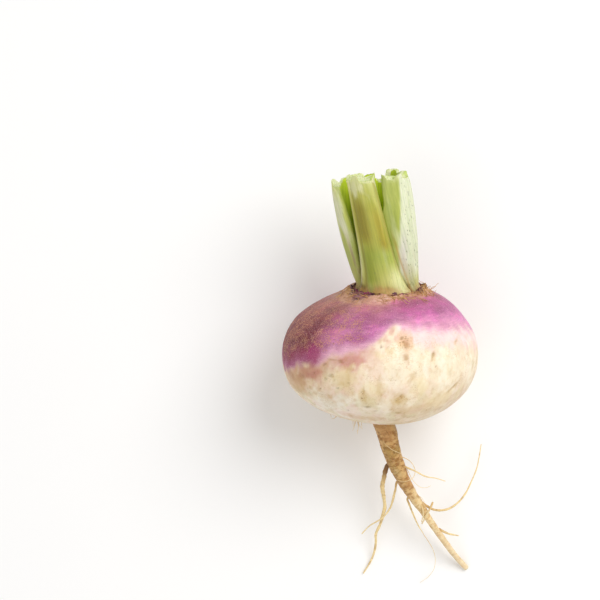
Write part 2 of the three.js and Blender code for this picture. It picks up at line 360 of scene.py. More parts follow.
class Shader:
    """A node material built line by line."""

    def __init__(self, name):
        self.material = bpy.data.materials.new(name)
        self.material.use_nodes = True
        self.tree = self.material.node_tree
        self.surface = self.tree.nodes["Principled BSDF"]

    def node(self, kind, inputs=None, **settings):
        made = self.tree.nodes.new(kind)
        for key, value in settings.items():
            setattr(made, key, value)
        for key, value in (inputs or {}).items():
            self.put(made.inputs[key], value)
        return made

    def put(self, socket, value):
        if isinstance(value, bpy.types.NodeSocket):
            self.tree.links.new(value, socket)
        else:
            socket.default_value = value

    def attribute(self, name, out="Fac"):
        return self.node("ShaderNodeAttribute", attribute_name=name).outputs[out]

    def math(self, operation, a, b=0.5):
        return self.node("ShaderNodeMath", {0: a, 1: b}, operation=operation).outputs[0]

    def stretch(self, vector, x, y, z):
        return self.node(
            "ShaderNodeVectorMath", {0: vector, 1: (x, y, z)}, operation="MULTIPLY"
        ).outputs[0]

    def noise(self, vector, scale, detail=3.0, rough=0.55):
        inputs = {"Vector": vector, "Scale": scale, "Detail": detail, "Roughness": rough}
        return self.node("ShaderNodeTexNoise", inputs).outputs["Fac"]

    def cells(self, vector, scale, out="Distance"):
        return self.node("ShaderNodeTexVoronoi", {"Vector": vector, "Scale": scale}).outputs[out]

    def span(self, value, low, high, to_low=0.0, to_high=1.0):
        inputs = {0: value, 1: low, 2: high, 3: to_low, 4: to_high}
        return self.node("ShaderNodeMapRange", inputs).outputs[0]

    def mix(self, factor, a, b, blend="MIX"):
        made = self.node("ShaderNodeMix", data_type="RGBA", blend_type=blend)
        self.put(made.inputs[0], factor)
        for socket, value in ((made.inputs[6], a), (made.inputs[7], b)):
            self.put(socket, value if isinstance(value, bpy.types.NodeSocket) else (*value, 1))
        return made.outputs[2]

    def shaded(self, base, shade, much):
        """base multiplied by shade, by the share much."""
        return self.mix(much, base, self.mix(1.0, base, shade, "MULTIPLY"))

    def toned(self, base, where, much, colour):
        """base drawn towards an sRGB colour where the mask is."""
        return self.mix(self.math("MULTIPLY", where, much), base, tuple(rgb(*colour)))

    def bump(self, height, distance, strength=1.0, below=None):
        inputs = {"Height": height, "Distance": distance, "Strength": strength}
        if below is not None:
            inputs["Normal"] = below
        return self.node("ShaderNodeBump", inputs).outputs[0]

    def surface_is(self, **inputs):
        for key, value in inputs.items():
            self.put(self.surface.inputs[key.replace("_", " ").title().replace("Ior", "IOR")], value)
        return self.material


def skin_material():
    s = Shader("turnip_skin")
    plant = s.attribute("plant", "Vector")
    cork = s.attribute("cork")
    tint = s.attribute("tint")
    base = s.attribute("paint", "Color")
    # Fine streaks that run round the bulb, stronger in the purple: partly the skin's own light and dark
    # streaks, partly painted glints.
    streak = s.noise(s.stretch(plant, 0.28, 0.28, 2.4), 1.0, 4.0, 0.6)
    light = s.mix(s.span(streak, 0.35, 0.75), (0.84, 0.80, 0.82), (1.12, 1.14, 1.12))
    base = s.shaded(base, light, s.math("MULTIPLY", tint, 0.75))
    # Cloudy patches everywhere.
    cloud = s.noise(plant, 0.22, 5.0, 0.6)
    pale = s.mix(s.span(cloud, 0.3, 0.7), (0.90, 0.86, 0.81), (1.04, 1.04, 1.05))
    base = s.shaded(base, pale, 0.9)
    # Small soft smudges, warmer than the skin round them.
    smudge = s.noise(s.stretch(plant, 0.9, 0.9, 0.6), 0.8, 4.0, 0.65)
    warm = s.mix(s.span(smudge, 0.5, 0.66), (1.0, 1.0, 1.0), (0.93, 0.87, 0.76))
    base = s.shaded(base, warm, s.span(tint, 0.9, 0.4, 0.25, 0.75))
    # Fine light and dark grain all over the purple, and rare pale specks.
    dust = s.noise(s.stretch(plant, 1.0, 1.0, 1.5), 2.6, 2.0, 0.8)
    light_dust = s.math("MULTIPLY", s.span(dust, 0.56, 0.70), tint)
    base = s.toned(base, light_dust, 0.6, (240, 186, 200))
    dark_dust = s.math("MULTIPLY", s.span(dust, 0.44, 0.30), tint)
    base = s.toned(base, dark_dust, 0.4, (130, 52, 96))
    pale_speck = s.span(s.noise(s.stretch(plant, 0.8, 0.8, 1.6), 1.0, 1.0, 0.5), 0.77, 0.80)
    pale_speck = s.math("MULTIPLY", pale_speck, s.span(tint, 0.4, 0.8))
    base = s.toned(base, pale_speck, 0.7, (255, 214, 214))
    # Corky dots: light ones on darker skin.
    grain = s.noise(s.stretch(plant, 1.0, 1.0, 1.25), 2.2, 3.0, 0.75)
    line = s.math("SUBTRACT", 0.75, s.math("MULTIPLY", cork, 0.27))
    over = s.math("SUBTRACT", grain, line)
    dots = s.math("MULTIPLY", s.span(over, 0.0, 0.07), s.span(cork, 0.02, 0.3))
    base = s.toned(base, dots, 0.72, (220, 158, 122))
    pits = s.span(s.noise(plant, 1.3, 2.0, 0.7), 0.40, 0.33)
    pits = s.math("MULTIPLY", pits, s.math("MULTIPLY", cork, 0.5))
    base = s.mix(pits, base, tuple(rgb(96, 40, 52)))
    # Brown specks on the pale skin, close together where it is stained.
    stain = s.attribute("stain")
    fine = s.noise(plant, 1.7, 3.0, 0.75)
    line = s.math("SUBTRACT", 0.76, s.math("MULTIPLY", stain, 0.24))
    speck = s.span(s.math("SUBTRACT", fine, line), 0.0, 0.08)
    speck = s.math("MULTIPLY", speck, s.span(tint, 0.9, 0.5, 0.25, 1.0))
    base = s.toned(base, speck, 0.75, (150, 106, 56))
    # Faint rings round the taproot on the underside.
    radius = s.node("ShaderNodeVectorMath", {0: s.stretch(plant, 1.0, 1.0, 0.0)}, operation="LENGTH")
    wavy = s.math("ADD", radius.outputs["Value"], s.math("MULTIPLY", s.noise(plant, 0.3, 2.0), 3.0))
    ringed = s.math("SINE", s.math("MULTIPLY", wavy, 3.4))
    low = s.node("ShaderNodeSeparateXYZ", {"Vector": plant}).outputs["Z"]
    ringed = s.math("MULTIPLY", s.span(ringed, 0.75, 1.0), s.span(low, -14.0, -22.0))
    ringed = s.math("MULTIPLY", ringed, s.span(s.noise(plant, 0.4, 3.0), 0.45, 0.65))
    base = s.toned(base, ringed, 0.35, (190, 154, 104))
    # Hair-thin scratches, tan on the pale skin.
    hair = s.noise(s.stretch(plant, 0.5, 0.5, 1.6), 1.0, 2.0, 0.5)
    hair = s.span(s.math("ABSOLUTE", s.math("SUBTRACT", hair, 0.5)), 0.02, 0.004)
    some = s.span(s.noise(plant, 0.16, 2.0), 0.52, 0.62)
    hair = s.math("MULTIPLY", s.math("MULTIPLY", hair, some), s.span(tint, 0.8, 0.3))
    base = s.toned(base, hair, 0.55, (180, 140, 86))
    rough = s.span(s.noise(plant, 0.5, 3.0), 0.3, 0.7, 0.40, 0.54)
    rough = s.math("ADD", rough, s.math("MULTIPLY", cork, 0.12))
    skin = s.bump(s.noise(plant, 1.9, 4.0, 0.6), 0.00012, 0.5)
    lines = s.bump(streak, 0.00015, 0.5, skin)
    dotted = s.bump(s.math("SUBTRACT", dots, speck), 0.0001, 0.7, lines)
    return s.surface_is(
        base_color=base, roughness=rough, normal=dotted, subsurface_weight=0.12,
        subsurface_radius=(0.006, 0.0035, 0.003), subsurface_scale=0.35, specular_ior_level=0.32,
    )


def stalk_material():
    s = Shader("leaf_stalk_flesh")
    along = s.attribute("fibre", "Vector")
    cut = s.attribute("cut")
    base = s.attribute("paint", "Color")
    fibres = s.noise(s.stretch(along, 1.7, 1.7, 0.06), 1.0, 4.0, 0.6)
    shade = s.mix(s.span(fibres, 0.3, 0.7), (0.80, 0.83, 0.74), (1.16, 1.12, 1.2))
    base = s.shaded(base, shade, 0.85)
    dash = s.noise(s.stretch(along, 2.2, 2.2, 0.75), 1.0, 2.0, 0.5)
    marks = s.math("MULTIPLY", s.span(dash, 0.63, 0.69), s.attribute("dashes"))
    base = s.toned(base, marks, 0.7, (112, 116, 84))
    pores = s.cells(s.stretch(along, 1.0, 1.0, 0.3), 1.5)
    wet = s.math("MULTIPLY", cut, s.span(pores, 0.35, 0.1))
    base = s.toned(base, wet, 0.6, (168, 190, 70))
    bump = s.bump(fibres, 0.0003, 0.5)
    bump = s.bump(s.noise(along, 1.2, 3.0), 0.0002, 0.3, bump)
    rough = s.span(fibres, 0.3, 0.7, 0.36, 0.5)
    return s.surface_is(
        base_color=base, roughness=rough, normal=bump, subsurface_weight=0.15,
        subsurface_radius=(0.004, 0.005, 0.002), subsurface_scale=0.3, specular_ior_level=0.3,
    )


def root_material():
    s = Shader("root_bark")
    place = s.node("ShaderNodeTexCoord").outputs["Object"]
    base = s.attribute("paint", "Color")
    grain = s.noise(place, 900.0, 4.0, 0.6)
    shade = s.mix(s.span(grain, 0.3, 0.7), (0.78, 0.74, 0.66), (1.15, 1.15, 1.12))
    base = s.shaded(base, shade, 0.8)
    bump = s.bump(grain, 0.0002, 0.5)
    rough = s.span(grain, 0.3, 0.7, 0.55, 0.72)
    return s.surface_is(base_color=base, roughness=rough, normal=bump)


def scale_material():
    s = Shader("dry_scale")
    place = s.node("ShaderNodeTexCoord").outputs["Object"]
    base = s.attribute("paint", "Color")
    veins = s.noise(s.stretch(place, 1.0, 0.3, 1.0), 1500.0, 4.0, 0.6)
    shade = s.mix(s.span(veins, 0.3, 0.7), (0.6, 0.55, 0.6), (1.25, 1.2, 1.25))
    base = s.shaded(base, shade, 0.8)
    bump = s.bump(veins, 0.0002, 0.6)
    rough = s.span(veins, 0.3, 0.7, 0.5, 0.7)
    return s.surface_is(base_color=base, roughness=rough, normal=bump)


# ---- Bulb and taproot ----------------------------------------------------------------------

# Height of the edge between white and purple, by degrees round the bulb from the side that
# faces up (0), towards +X (90).
PURPLE_EDGE = [
    (-180, 6), (-150, 2), (-120, -2), (-95, -4), (-80, -5), (-66, -4.6), (-57, -1.2), (-47, 1.5),
    (-41, 1.6), (-35, 2.2), (-32, 3.6), (-29, 5.2), (-21, 6.8), (-12, 8.0), (-6, 9.2),
    (-1, 11.0), (3, 13.7), (6, 15.6), (9.5, 16.4), (13, 15.0), (17, 13.6), (23, 12.9), (32, 12.4),
    (41, 11.8), (51, 11.2), (62, 10.0), (71, 8.6), (88, 5.8), (105, 4), (130, 6), (155, 8), (180, 6),
]

# Marks on the skin: degrees round, height, half width and half height in mm, degrees of tilt,
# colour, strength, depth of the pit in mm.
SKIN_MARKS = [
    (16.5, 12.4, 4.0, 4.6, 0, (230, 186, 124), 0.85, 0.05),
    (17.0, 11.2, 1.5, 1.9, 20, (176, 122, 66), 0.8, 0.15),
    (14.6, 13.4, 0.9, 0.7, 0, (150, 104, 62), 0.8, 0.15),
    (15.9, 7.0, 1.3, 1.6, 0, (184, 138, 86), 0.8, 0.15),
    (16.8, 4.8, 0.6, 0.9, 10, (196, 152, 100), 0.7, 0.1),
    (33.4, 7.0, 0.8, 1.5, -38, (164, 126, 44), 0.9, 0.15),
    (31.8, 5.2, 0.5, 0.7, -20, (196, 160, 96), 0.7, 0.1),
    (34.0, 2.6, 0.5, 0.5, 0, (168, 132, 86), 0.8, 0.1),
    (54.8, 9.6, 1.6, 0.7, 20, (204, 176, 112), 0.85, 0.1),
    (59.0, 12.0, 0.9, 0.4, 0, (214, 184, 130), 0.8, 0.1),
    (1.0, 10.7, 0.5, 0.6, 0, (124, 84, 56), 0.9, 0.15),
    (-22.5, 5.2, 1.6, 0.7, -10, (158, 118, 70), 0.9, 0.15),
    (-27.5, 5.6, 2.2, 0.5, 0, (176, 130, 96), 0.8, 0.1),
    (-32.5, 3.6, 1.0, 0.5, 20, (150, 104, 84), 0.8, 0.1),
    (-28.2, -0.4, 1.2, 0.7, 0, (150, 118, 64), 0.8, 0.12),
    (-31.5, -1.6, 0.6, 0.5, 0, (120, 92, 52), 0.8, 0.15),
    (-25.6, -1.9, 0.4, 0.4, 0, (150, 118, 74), 0.8, 0.1),
    (-41.0, -0.9, 4.2, 1.6, 24, (196, 130, 118), 0.8, 0.02),
    (-50.0, -2.6, 2.6, 1.0, -20, (178, 122, 96), 0.8, 0.05),
    (-46.4, 1.9, 2.4, 1.2, 0, (238, 218, 178), 0.9, 0.0),
    (-57.0, -7.2, 8.5, 6.0, 10, (206, 168, 118), 0.9, 0.0),
    (-63.0, -4.2, 3.5, 2.5, 0, (182, 134, 100), 0.8, 0.0),
    (-41.0, -8.6, 2.0, 1.0, 30, (220, 190, 150), 0.7, 0.05),
    (-36.0, -6.2, 0.5, 0.4, 0, (128, 100, 64), 0.8, 0.1),
    (-24.2, -4.8, 0.6, 0.4, 0, (128, 100, 64), 0.8, 0.1),
    (-17.5, -2.6, 0.6, 0.4, 0, (150, 112, 60), 0.8, 0.1),
    (-21.2, -15.2, 0.5, 0.5, 0, (128, 100, 64), 0.8, 0.1),
    (-30.0, -12.0, 0.5, 0.4, 0, (150, 120, 80), 0.7, 0.1),
    (-7.8, -12.6, 1.7, 0.5, 0, (140, 108, 62), 0.85, 0.1),
    (-3.0, -14.6, 1.0, 0.4, 10, (160, 126, 80), 0.8, 0.1),
    (-9.6, -7.8, 2.0, 3.8, 8, (216, 186, 126), 0.85, 0.05),
    (-9.0, -5.6, 0.5, 1.6, 6, (186, 148, 88), 0.7, 0.1),
    (12.2, -9.0, 3.6, 3.0, -14, (208, 176, 106), 0.85, 0.05),
    (13.0, -8.0, 0.9, 1.0, 0, (176, 138, 78), 0.8, 0.1),
    (12.2, -15.5, 1.3, 0.8, 0, (186, 150, 94), 0.85, 0.1),
    (-2.0, -4.0, 5.5, 3.4, 0, (232, 214, 166), 0.7, 0.0),
    (25.0, -4.0, 2.6, 5.0, 8, (238, 220, 172), 0.7, 0.0),
    (48.5, -7.2, 0.8, 4.2, -58, (190, 156, 100), 0.9, 0.2),
    (40.0, -11.5, 9.0, 4.4, 0, (230, 206, 158), 0.85, 0.0),
    (22.0, -14.0, 8.0, 2.6, 5, (228, 200, 160), 0.7, 0.0),
    (-12.0, -19.0, 9.0, 2.6, -4, (220, 190, 150), 0.7, 0.0),
    (-20.0, -1.0, 6.0, 4.4, 0, (226, 204, 150), 0.75, 0.0),
    (-36.0, -14.0, 7.0, 4.4, 0, (244, 238, 222), 0.8, 0.0),
    (-24.0, -9.0, 3.0, 2.0, 20, (242, 236, 218), 0.8, 0.0),
    (6.0, -1.0, 4.0, 4.6, 0, (250, 244, 224), 0.7, 0.0),
    (-41.5, 6.8, 3.8, 5.6, 0, (160, 26, 98), 1.0, 0.0),
    (-47.0, 4.0, 2.6, 2.0, 20, (150, 50, 100), 0.7, 0.0),
    (-14.0, 13.4, 6.5, 2.6, 10, (158, 58, 130), 0.7, 0.0),
    (120.0, 9.0, 2.2, 1.0, 10, (150, 112, 62), 0.8, 0.12),
    (150.0, -4.0, 5.5, 2.6, -10, (206, 174, 116), 0.8, 0.0),
    (-140.0, -6.0, 4.4, 2.6, 14, (206, 172, 116), 0.8, 0.02),
    (100.0, -10.0, 3.6, 2.2, 0, (208, 176, 120), 0.8, 0.02),
    (175.0, 3.0, 1.2, 0.7, 0, (140, 104, 60), 0.8, 0.15),
    (165.0, -12.0, 3.0, 1.2, 30, (190, 154, 96), 0.8, 0.1),
    (-170.0, -15.0, 1.0, 2.2, 10, (176, 140, 84), 0.8, 0.12),
    (-105.0, -14.0, 2.0, 1.0, 20, (180, 144, 88), 0.8, 0.1),
    (-118.0, 2.0, 1.4, 0.5, 10, (170, 130, 80), 0.8, 0.1),
    (135.0, 1.0, 0.9, 0.7, 0, (170, 130, 76), 0.8, 0.12),
    (75.0, -3.0, 0.6, 0.5, 0, (140, 110, 70), 0.8, 0.1),
]


def ramp(t, stops):
    where = [s[0] for s in stops]
    colours = np.array([rgb(*s[1]) for s in stops])
    return np.stack([np.interp(t, where, colours[:, k]) for k in range(3)], -1)


# The right ramp is lighter and the left one darker: partly the skin's own colour, partly painted light
# on the right, where the key light falls, and painted shade on the left, away from it.
RIGHT_PURPLE = [
    (0.0, (252, 226, 222)), (0.08, (246, 204, 214)), (0.2, (230, 164, 196)), (0.34, (212, 134, 180)),
    (0.5, (192, 106, 158)), (0.66, (180, 92, 142)), (0.8, (176, 94, 132)), (0.9, (184, 116, 126)),
    (1.0, (196, 148, 124)),
]
FRONT_PURPLE = [
    (0.0, (240, 208, 200)), (0.08, (228, 176, 196)), (0.2, (208, 138, 180)), (0.36, (196, 118, 166)),
    (0.55, (194, 116, 154)), (0.74, (198, 128, 144)), (0.9, (212, 164, 140)), (1.0, (212, 168, 136)),
]
LEFT_PURPLE = [
    (0.0, (204, 158, 176)), (0.05, (172, 92, 130)), (0.14, (148, 46, 80)), (0.3, (110, 32, 42)),
    (0.55, (140, 66, 70)), (0.78, (170, 112, 104)), (0.92, (190, 146, 118)), (1.0, (198, 154, 118)),
]


def on_skin(degrees, height, outline, heights):
    """The point of the even bulb at that place, with its directions round and up."""
    a = math.radians(degrees - 90)
    r = float(np.interp(height, heights, outline[:, 0]))
    steep = float(np.interp(height + 0.3, heights, outline[:, 0])) - r
    out = np.array([math.cos(a), math.sin(a), 0])
    east = np.array([-math.sin(a), math.cos(a), 0])
    up = out * steep + np.array([0, 0, 0.3])
    return out * r + np.array([0, 0, height]), east, up / np.linalg.norm(up)


def mark_strength(p, mark, outline, heights, seed):
    degrees, height, wide, tall, tilt = mark[:5]
    centre, east, up = on_skin(degrees, height, outline, heights)
    d = p - centre
    e, n = d @ east, d @ up
    c, s = math.cos(math.radians(tilt)), math.sin(math.radians(tilt))
    far = np.hypot((e * c + n * s) / wide, (n * c - e * s) / tall)
    near = np.abs(d).max(1) < 3 * max(wide, tall)
    ragged = np.zeros(len(p))
    ragged[near] = 0.45 * fbm(p[near] * 0.9, 3, seed)
    return near * smooth(1.25, 0.35, far + ragged)


def bulb_paint(p, degrees, gone, edge):
    """Colours of the bulb's skin at even-bulb points p. gone is mm up the skin from its widest
    line, and edge is where the purple starts, on the same scale."""
    big, small = fbm(p * 0.11, 3, 5), fbm(p * 0.5, 4, 9)
    low = smooth(2, -26, gone)
    cream = wash(rgb(249, 236, 210), (232, 211, 181), low * 0.9)
    shade = ridge(degrees, -52, 34) * smooth(-16, 2, p[:, 2])
    cream = wash(cream, (224, 188, 154), 0.8 * shade)
    cream = wash(cream, (246, 240, 228), 0.75 * ridge(degrees, -34, 26) * smooth(-5, -11, p[:, 2]))
    washed = [
        (0.16, 21, (-0.02, 0.26), 0.22, (222, 196, 154), 0.6),
        (0.30, 23, (0.06, 0.3), 0.0, (232, 212, 168), 0.6),
        (0.22, 25, (0.03, 0.3), 0.15, (236, 206, 190), 0.5),
        (0.26, 27, (0.08, 0.28), 0.1, (222, 212, 168), 0.45),
        (0.45, 29, (0.12, 0.32), 0.0, (210, 178, 130), 0.55),
    ]
    # Fewer washes on the right side near the widest line: partly cleaner skin, partly painted light
    # where the key light falls.
    clean_and_lit = ridge(degrees, 48, 34) * smooth(-14, -4, p[:, 2])
    for scale, seed, span, lean, tone, much in washed:
        where = smooth(*span, fbm(p * scale * np.array([1, 1, 0.7]), 4, seed) + lean * low - 0.06)
        cream = wash(cream, tone, much * where * (1 - 0.65 * clean_and_lit))
    # Whiter streaks that run up the pale skin, fewer towards the bottom: painted sheen on the skin's
    # glossy patches.
    ribs = fbm(np.column_stack([p[:, 0] * 0.26, p[:, 1] * 0.26, p[:, 2] * 0.05]), 3, 33)
    sheen_streaks = smooth(-0.05, 0.3, ribs) * (1 - 0.6 * low)
    cream = wash(cream, (255, 250, 234), 0.4 * sheen_streaks)

    right = smooth(4, 20, degrees) * smooth(150, 110, degrees)
    left = smooth(-28, -52, degrees) * smooth(-165, -120, degrees)
    soft = lerp(lerp(4.0, 7.0, right), 3.4, left)
    comb = fbm(np.column_stack([degrees * 0.16, gone * 0.05, 0 * gone]), 3, 37)
    wobble = big * 5.0 + small * 3.4 + comb * 3.0
    seen = smooth(85, 55, np.abs(degrees - 5))
    above = gone - edge + (wobble + 0.7 * seen) * lerp(0.85, 0.5, seen) - 1.0 * seen
    t = np.clip(above / (36.5 - edge), 0, 1)
    # Lighter purple on the right and darker on the left: partly the skin's own colour, partly painted
    # light and painted shade.
    purple = lerp(ramp(t, FRONT_PURPLE), ramp(t, RIGHT_PURPLE), right[:, None])
    purple = lerp(purple, ramp(t, LEFT_PURPLE), left[:, None])
    mottled = fbm(p * np.array([0.14, 0.14, 0.6]), 4, 41)
    purple *= (1 + 0.45 * mottled * smooth(0.05, 0.3, t))[:, None]
    pinker = smooth(0.0, 0.4, fbm(p * 0.3, 4, 43)) * smooth(0.05, 0.3, t)
    purple = lerp(purple, purple * np.array([1.14, 0.92, 1.16]), (0.8 * pinker)[:, None])
    tint = smooth(-0.35, 0.65, above / soft)
    blush = 0.8 * smooth(-11, -1, above) * smooth(-0.3, 0.3, small + big) * lerp(1.0, 0.3, right)
    cream = wash(cream, (220, 164, 148), blush)
    cream = wash(cream, (253, 220, 226), 0.7 * right * smooth(-7, -1, above))
    rosy = ridge(degrees, -19, 13) * smooth(-7.5, -2.5, above + 3 * small)
    cream = wash(cream, (206, 142, 140), 0.75 * rosy)
    browned = ridge(degrees, -46, 16) * smooth(-9, -3, above + 3 * small)
    cream = wash(cream, (190, 138, 104), 0.7 * browned)
    colour = lerp(cream, purple, tint[:, None])
    cork = smooth(-150, -66, degrees + 30 * big) * smooth(32, -34, degrees) * smooth(0.02, 0.24, t)
    cork = np.maximum(cork, 0.8 * smooth(26, 33, gone + 3 * small) * lerp(1.0, 0.5, right))
    behind = smooth(95, 140, np.abs(degrees)) * smooth(0.1, 0.4, t)
    cork = np.maximum(cork, 0.75 * behind * smooth(-0.1, 0.3, fbm(p * 0.08, 3, 45)))
    cork *= np.clip(0.9 + 0.7 * small + 0.5 * big, 0, 1.2)
    return colour, tint, np.clip(cork, 0, 1)


def collar_fibre(degrees, r):
    return fbm(np.column_stack([degrees * 0.05, r * 1.6, 0 * r]), 4, 53)


def crown_paint(p, r, degrees, colour, cork):
    """The corky collar, broad at the left and thin at the right, and the dark ground inside it: torn
    purple remnants, partly painted shade at the left between the stalk and the collar rim.
    """
    rough = fbm(p * 0.9, 4, 51)
    fibre = collar_fibre(degrees, r)
    wide = 17.0 + 2.2 * ridge(degrees, -48, 38) - 1.9 * ridge(degrees, 28, 34)
    collar = smooth(wide + 1.6, wide - 0.8, r + 1.8 * rough)
    tan = wash(rgb(214, 168, 126), (168, 118, 76), smooth(-0.2, 0.35, fibre + 0.6 * rough))
    tan = wash(tan, (236, 190, 176), 0.75 * ridge(degrees, 0, 40))
    colour = lerp(colour, tan, (0.85 * collar)[:, None])
    # The dark reaches further out at the left, where it is partly painted shade between the stalk and
    # the collar rim, and at a purple stub at the right.
    scar_and_shade = 4.0 * ridge(degrees, -44, 24) + 1.6 * ridge(degrees, 62, 18)
    inside = smooth(13.9, 12.9, r + 1.5 * rough - scar_and_shade)
    dark = wash(rgb(88, 40, 56), (140, 84, 82), smooth(-0.2, 0.4, rough))
    mauve = ridge(degrees, -44, 24) * smooth(-0.15, 0.15, fibre)
    dark = wash(dark, (164, 112, 122), 0.8 * mauve)
    colour = lerp(colour, dark, (0.9 * inside)[:, None])
    return colour, np.clip(cork * (1 - inside), 0, 1)


def root_paint(p, t):
    """Tan, finely cracked bark at the neck, pale and smooth towards the tip."""
    fine = fbm(p * np.array([1.0, 1.0, 2.2]), 4, 61)
    band = fbm(p * np.array([0.35, 0.35, 0.9]), 3, 67)
    patch = fbm(p * np.array([0.22, 0.22, 0.13]), 3, 69)
    bark = wash(rgb(156, 110, 50), (214, 176, 114), smooth(-0.35, 0.3, fine + 0.9 * band))
    bark = wash(bark, (170, 136, 66), 0.7 * smooth(0.05, 0.3, patch))
    bark = wash(bark, (196, 148, 92), 0.6 * smooth(-0.05, -0.3, patch))
    pale = wash(rgb(216, 182, 122), (240, 218, 168), smooth(-0.3, 0.2, fine + band))
    pale = wash(pale, (246, 228, 190), 0.7 * smooth(0.55, 0.9, t))
    return lerp(bark, pale, smooth(0.26, 0.62, t + 0.4 * patch)[:, None])


def root_cracks(p):
    """1 in the fine cracks that run mostly round the taproot."""
    ground = fbm(p * np.array([0.55, 0.55, 2.0]) + 0.6 * fbm(p * 0.7, 2, 94)[:, None], 4, 93)
    return smooth(0.035, 0.0, np.abs(ground)) * smooth(-0.25, 0.1, fbm(p * 0.3, 3, 96))


SKIN_AROUND, ROOT_AROUND = 360, 90  # vertices in a ring; four of the skin to one of the root
ROOT_STEP = 0.28


def skin_rows(line, every):
    """Shares of the outline where the bulb's rings lie, closest at the neck and the crown."""
    step = np.interp(every, [0, 0.06, 0.12, 0.8, 0.86, 1], [0.4, 0.4, 0.62, 0.62, 0.4, 0.6])
    rings = np.concatenate([[0], np.cumsum(line.length / len(every) / step)])[:-1]
    return np.interp(np.arange(int(rings[-1]) + 1), rings, every)


def skin_relief(p, r, z, degrees, cork):
    """How far the skin stands off the even bulb in mm, before its marks."""
    depth = 0.10 * fbm(p * 0.16, 3, 71) + 0.05 * fbm(p * 0.6, 3, 73)
    depth += 0.12 * cork * fbm(p * 1.1, 2, 77) * (r < 36)
    around_crown = smooth(19.5, 16.0, r) * smooth(6, 10, r) * (z > 0)
    depth += (0.5 * collar_fibre(degrees, r) + 0.5 * fbm(p * 0.9, 3, 81)) * around_crown
    return depth + 0.25 * smooth(-22, -26, z) * fbm(p * 0.8, 3, 83)


def bulb_body():
    """Rows, points and marks of the bulb, from its neck to its crown."""
    line = bulb_outline()
    every = np.linspace(0, 1, 2000)
    fine = line.at(every)
    outline, heights = fine[:, :2], fine[:, 1]
    t = skin_rows(line, every)
    flat = line.at(t)
    slope = line.along(t)
    rows = len(t)
    aa = np.tile(np.linspace(0, 2 * math.pi, SKIN_AROUND, endpoint=False), rows)
    r, z = np.repeat(flat[:, 0], SKIN_AROUND), np.repeat(flat[:, 1], SKIN_AROUND)
    p = np.column_stack([r * np.cos(aa), r * np.sin(aa), z])
    sr, sz = np.repeat(slope[:, 0], SKIN_AROUND), np.repeat(slope[:, 1], SKIN_AROUND)
    normal = np.column_stack([sz * np.cos(aa), sz * np.sin(aa), -sr])

    degrees = (np.degrees(aa) + 90 + 180) % 360 - 180
    widest = np.argmax(outline[:, 0]) / (len(every) - 1)
    skin_mm = (every - widest) * line.length
    gone = np.repeat((t - widest) * line.length, SKIN_AROUND)
    edge_z = np.interp(degrees, [k[0] for k in PURPLE_EDGE], [k[1] for k in PURPLE_EDGE])
    body = (fine[:, 1] > -24) & (fine[:, 1] < 24)
    edge = np.interp(edge_z, heights[body], skin_mm[body])
    colour, tint, cork = bulb_paint(p, degrees, gone, edge)
    on_crown = smooth(22.5, 21.5, r) * (z > 0)
    crown_colour, crown_cork = crown_paint(p, r, degrees, colour, cork)
    colour = lerp(colour, crown_colour, on_crown[:, None])
    cork = lerp(cork, crown_cork, on_crown)
    tint = tint * (1 - smooth(17.5, 15.5, r) * (z > 0))

    depth = skin_relief(p, r, z, degrees, cork)
    stain = 0.55 * smooth(0.12, 0.4, fbm(p * 0.3, 4, 85)) * smooth(6, -14, z)
    for k, mark in enumerate(SKIN_MARKS):
        strong = mark_strength(p, mark, outline, heights, 90 + k)
        colour = wash(colour, mark[5], strong * mark[6] * 0.7)
        stain = np.maximum(stain, strong * (mark[6] if mark[7] > 0 else 0.3))
        depth -= strong * mark[7]
    p_root = root_paint(p, np.zeros(len(p)))
    neck = smooth(8.2, 5.4, r + 1.2 * fbm(p * 0.6, 3, 87)) * (z < 0)
    colour = lerp(colour, p_root, neck[:, None])
    points = uneven(p + normal * depth[:, None])
    return rows, points, {"plant": p, "paint": colour, "cork": cork, "tint": tint, "stain": stain}


def taproot_body():
    """Rows, points, straight points and colours of the taproot, from the neck to its tip."""
    steps = int(ROOT_LINE.length / ROOT_STEP)
    rt = np.repeat(np.linspace(ROOT_STEP / ROOT_LINE.length, 1, steps), ROOT_AROUND)
    ra = np.tile(np.linspace(0, 2 * math.pi, ROOT_AROUND, endpoint=False), steps)
    straight = np.column_stack([
        root_radius(rt) * np.cos(ra), root_radius(rt) * np.sin(ra), NECK_Z - rt * ROOT_LINE.length])
    swell = 0.32 * fbm(straight * np.array([0.25, 0.25, 0.22]), 3, 91)
    cracks = root_cracks(straight)
    swell += 0.22 * fbm(straight * np.array([0.9, 0.9, 0.7]), 3, 97)
    ringed = 0.14 * fbm(straight * np.array([0.2, 0.2, 1.6]), 3, 95)
    bark = smooth(0.75, 0.1, rt)
    grow = swell - 0.2 * cracks * lerp(0.35, 1.0, bark) + ringed * lerp(0.5, 1.0, bark)
    grow *= lerp(0.5, 1.0, bark) * smooth(-0.01, 0.03, rt)
    wide = (root_radius(rt) + grow) / root_radius(rt)
    root_even = straight * np.column_stack([wide, wide, np.ones(len(rt))])
    root_colour = root_paint(straight, rt)
    dark = 0.75 * cracks * lerp(0.25, 1.0, bark)
    root_colour = wash(root_colour, (112, 74, 34), dark)
    tip = smooth(0.985, 1.0, rt)
    root_colour = wash(root_colour, (240, 226, 184), tip)
    return steps, bent(root_even), straight, root_colour


def neck_faces(n_bulb):
    """The faces that lead from the bulb's first ring to the four times coarser root's first."""
    faces = []
    for i in range(ROOT_AROUND):
        small, next_small = n_bulb + i, n_bulb + (i + 1) % ROOT_AROUND
        big = [(4 * i + k) % SKIN_AROUND for k in range(5)]
        faces += [(small, big[0], big[1]), (small, big[1], big[2]), (small, big[2], next_small),
                  (big[2], big[3], next_small), (big[3], big[4], next_small)]
    return faces


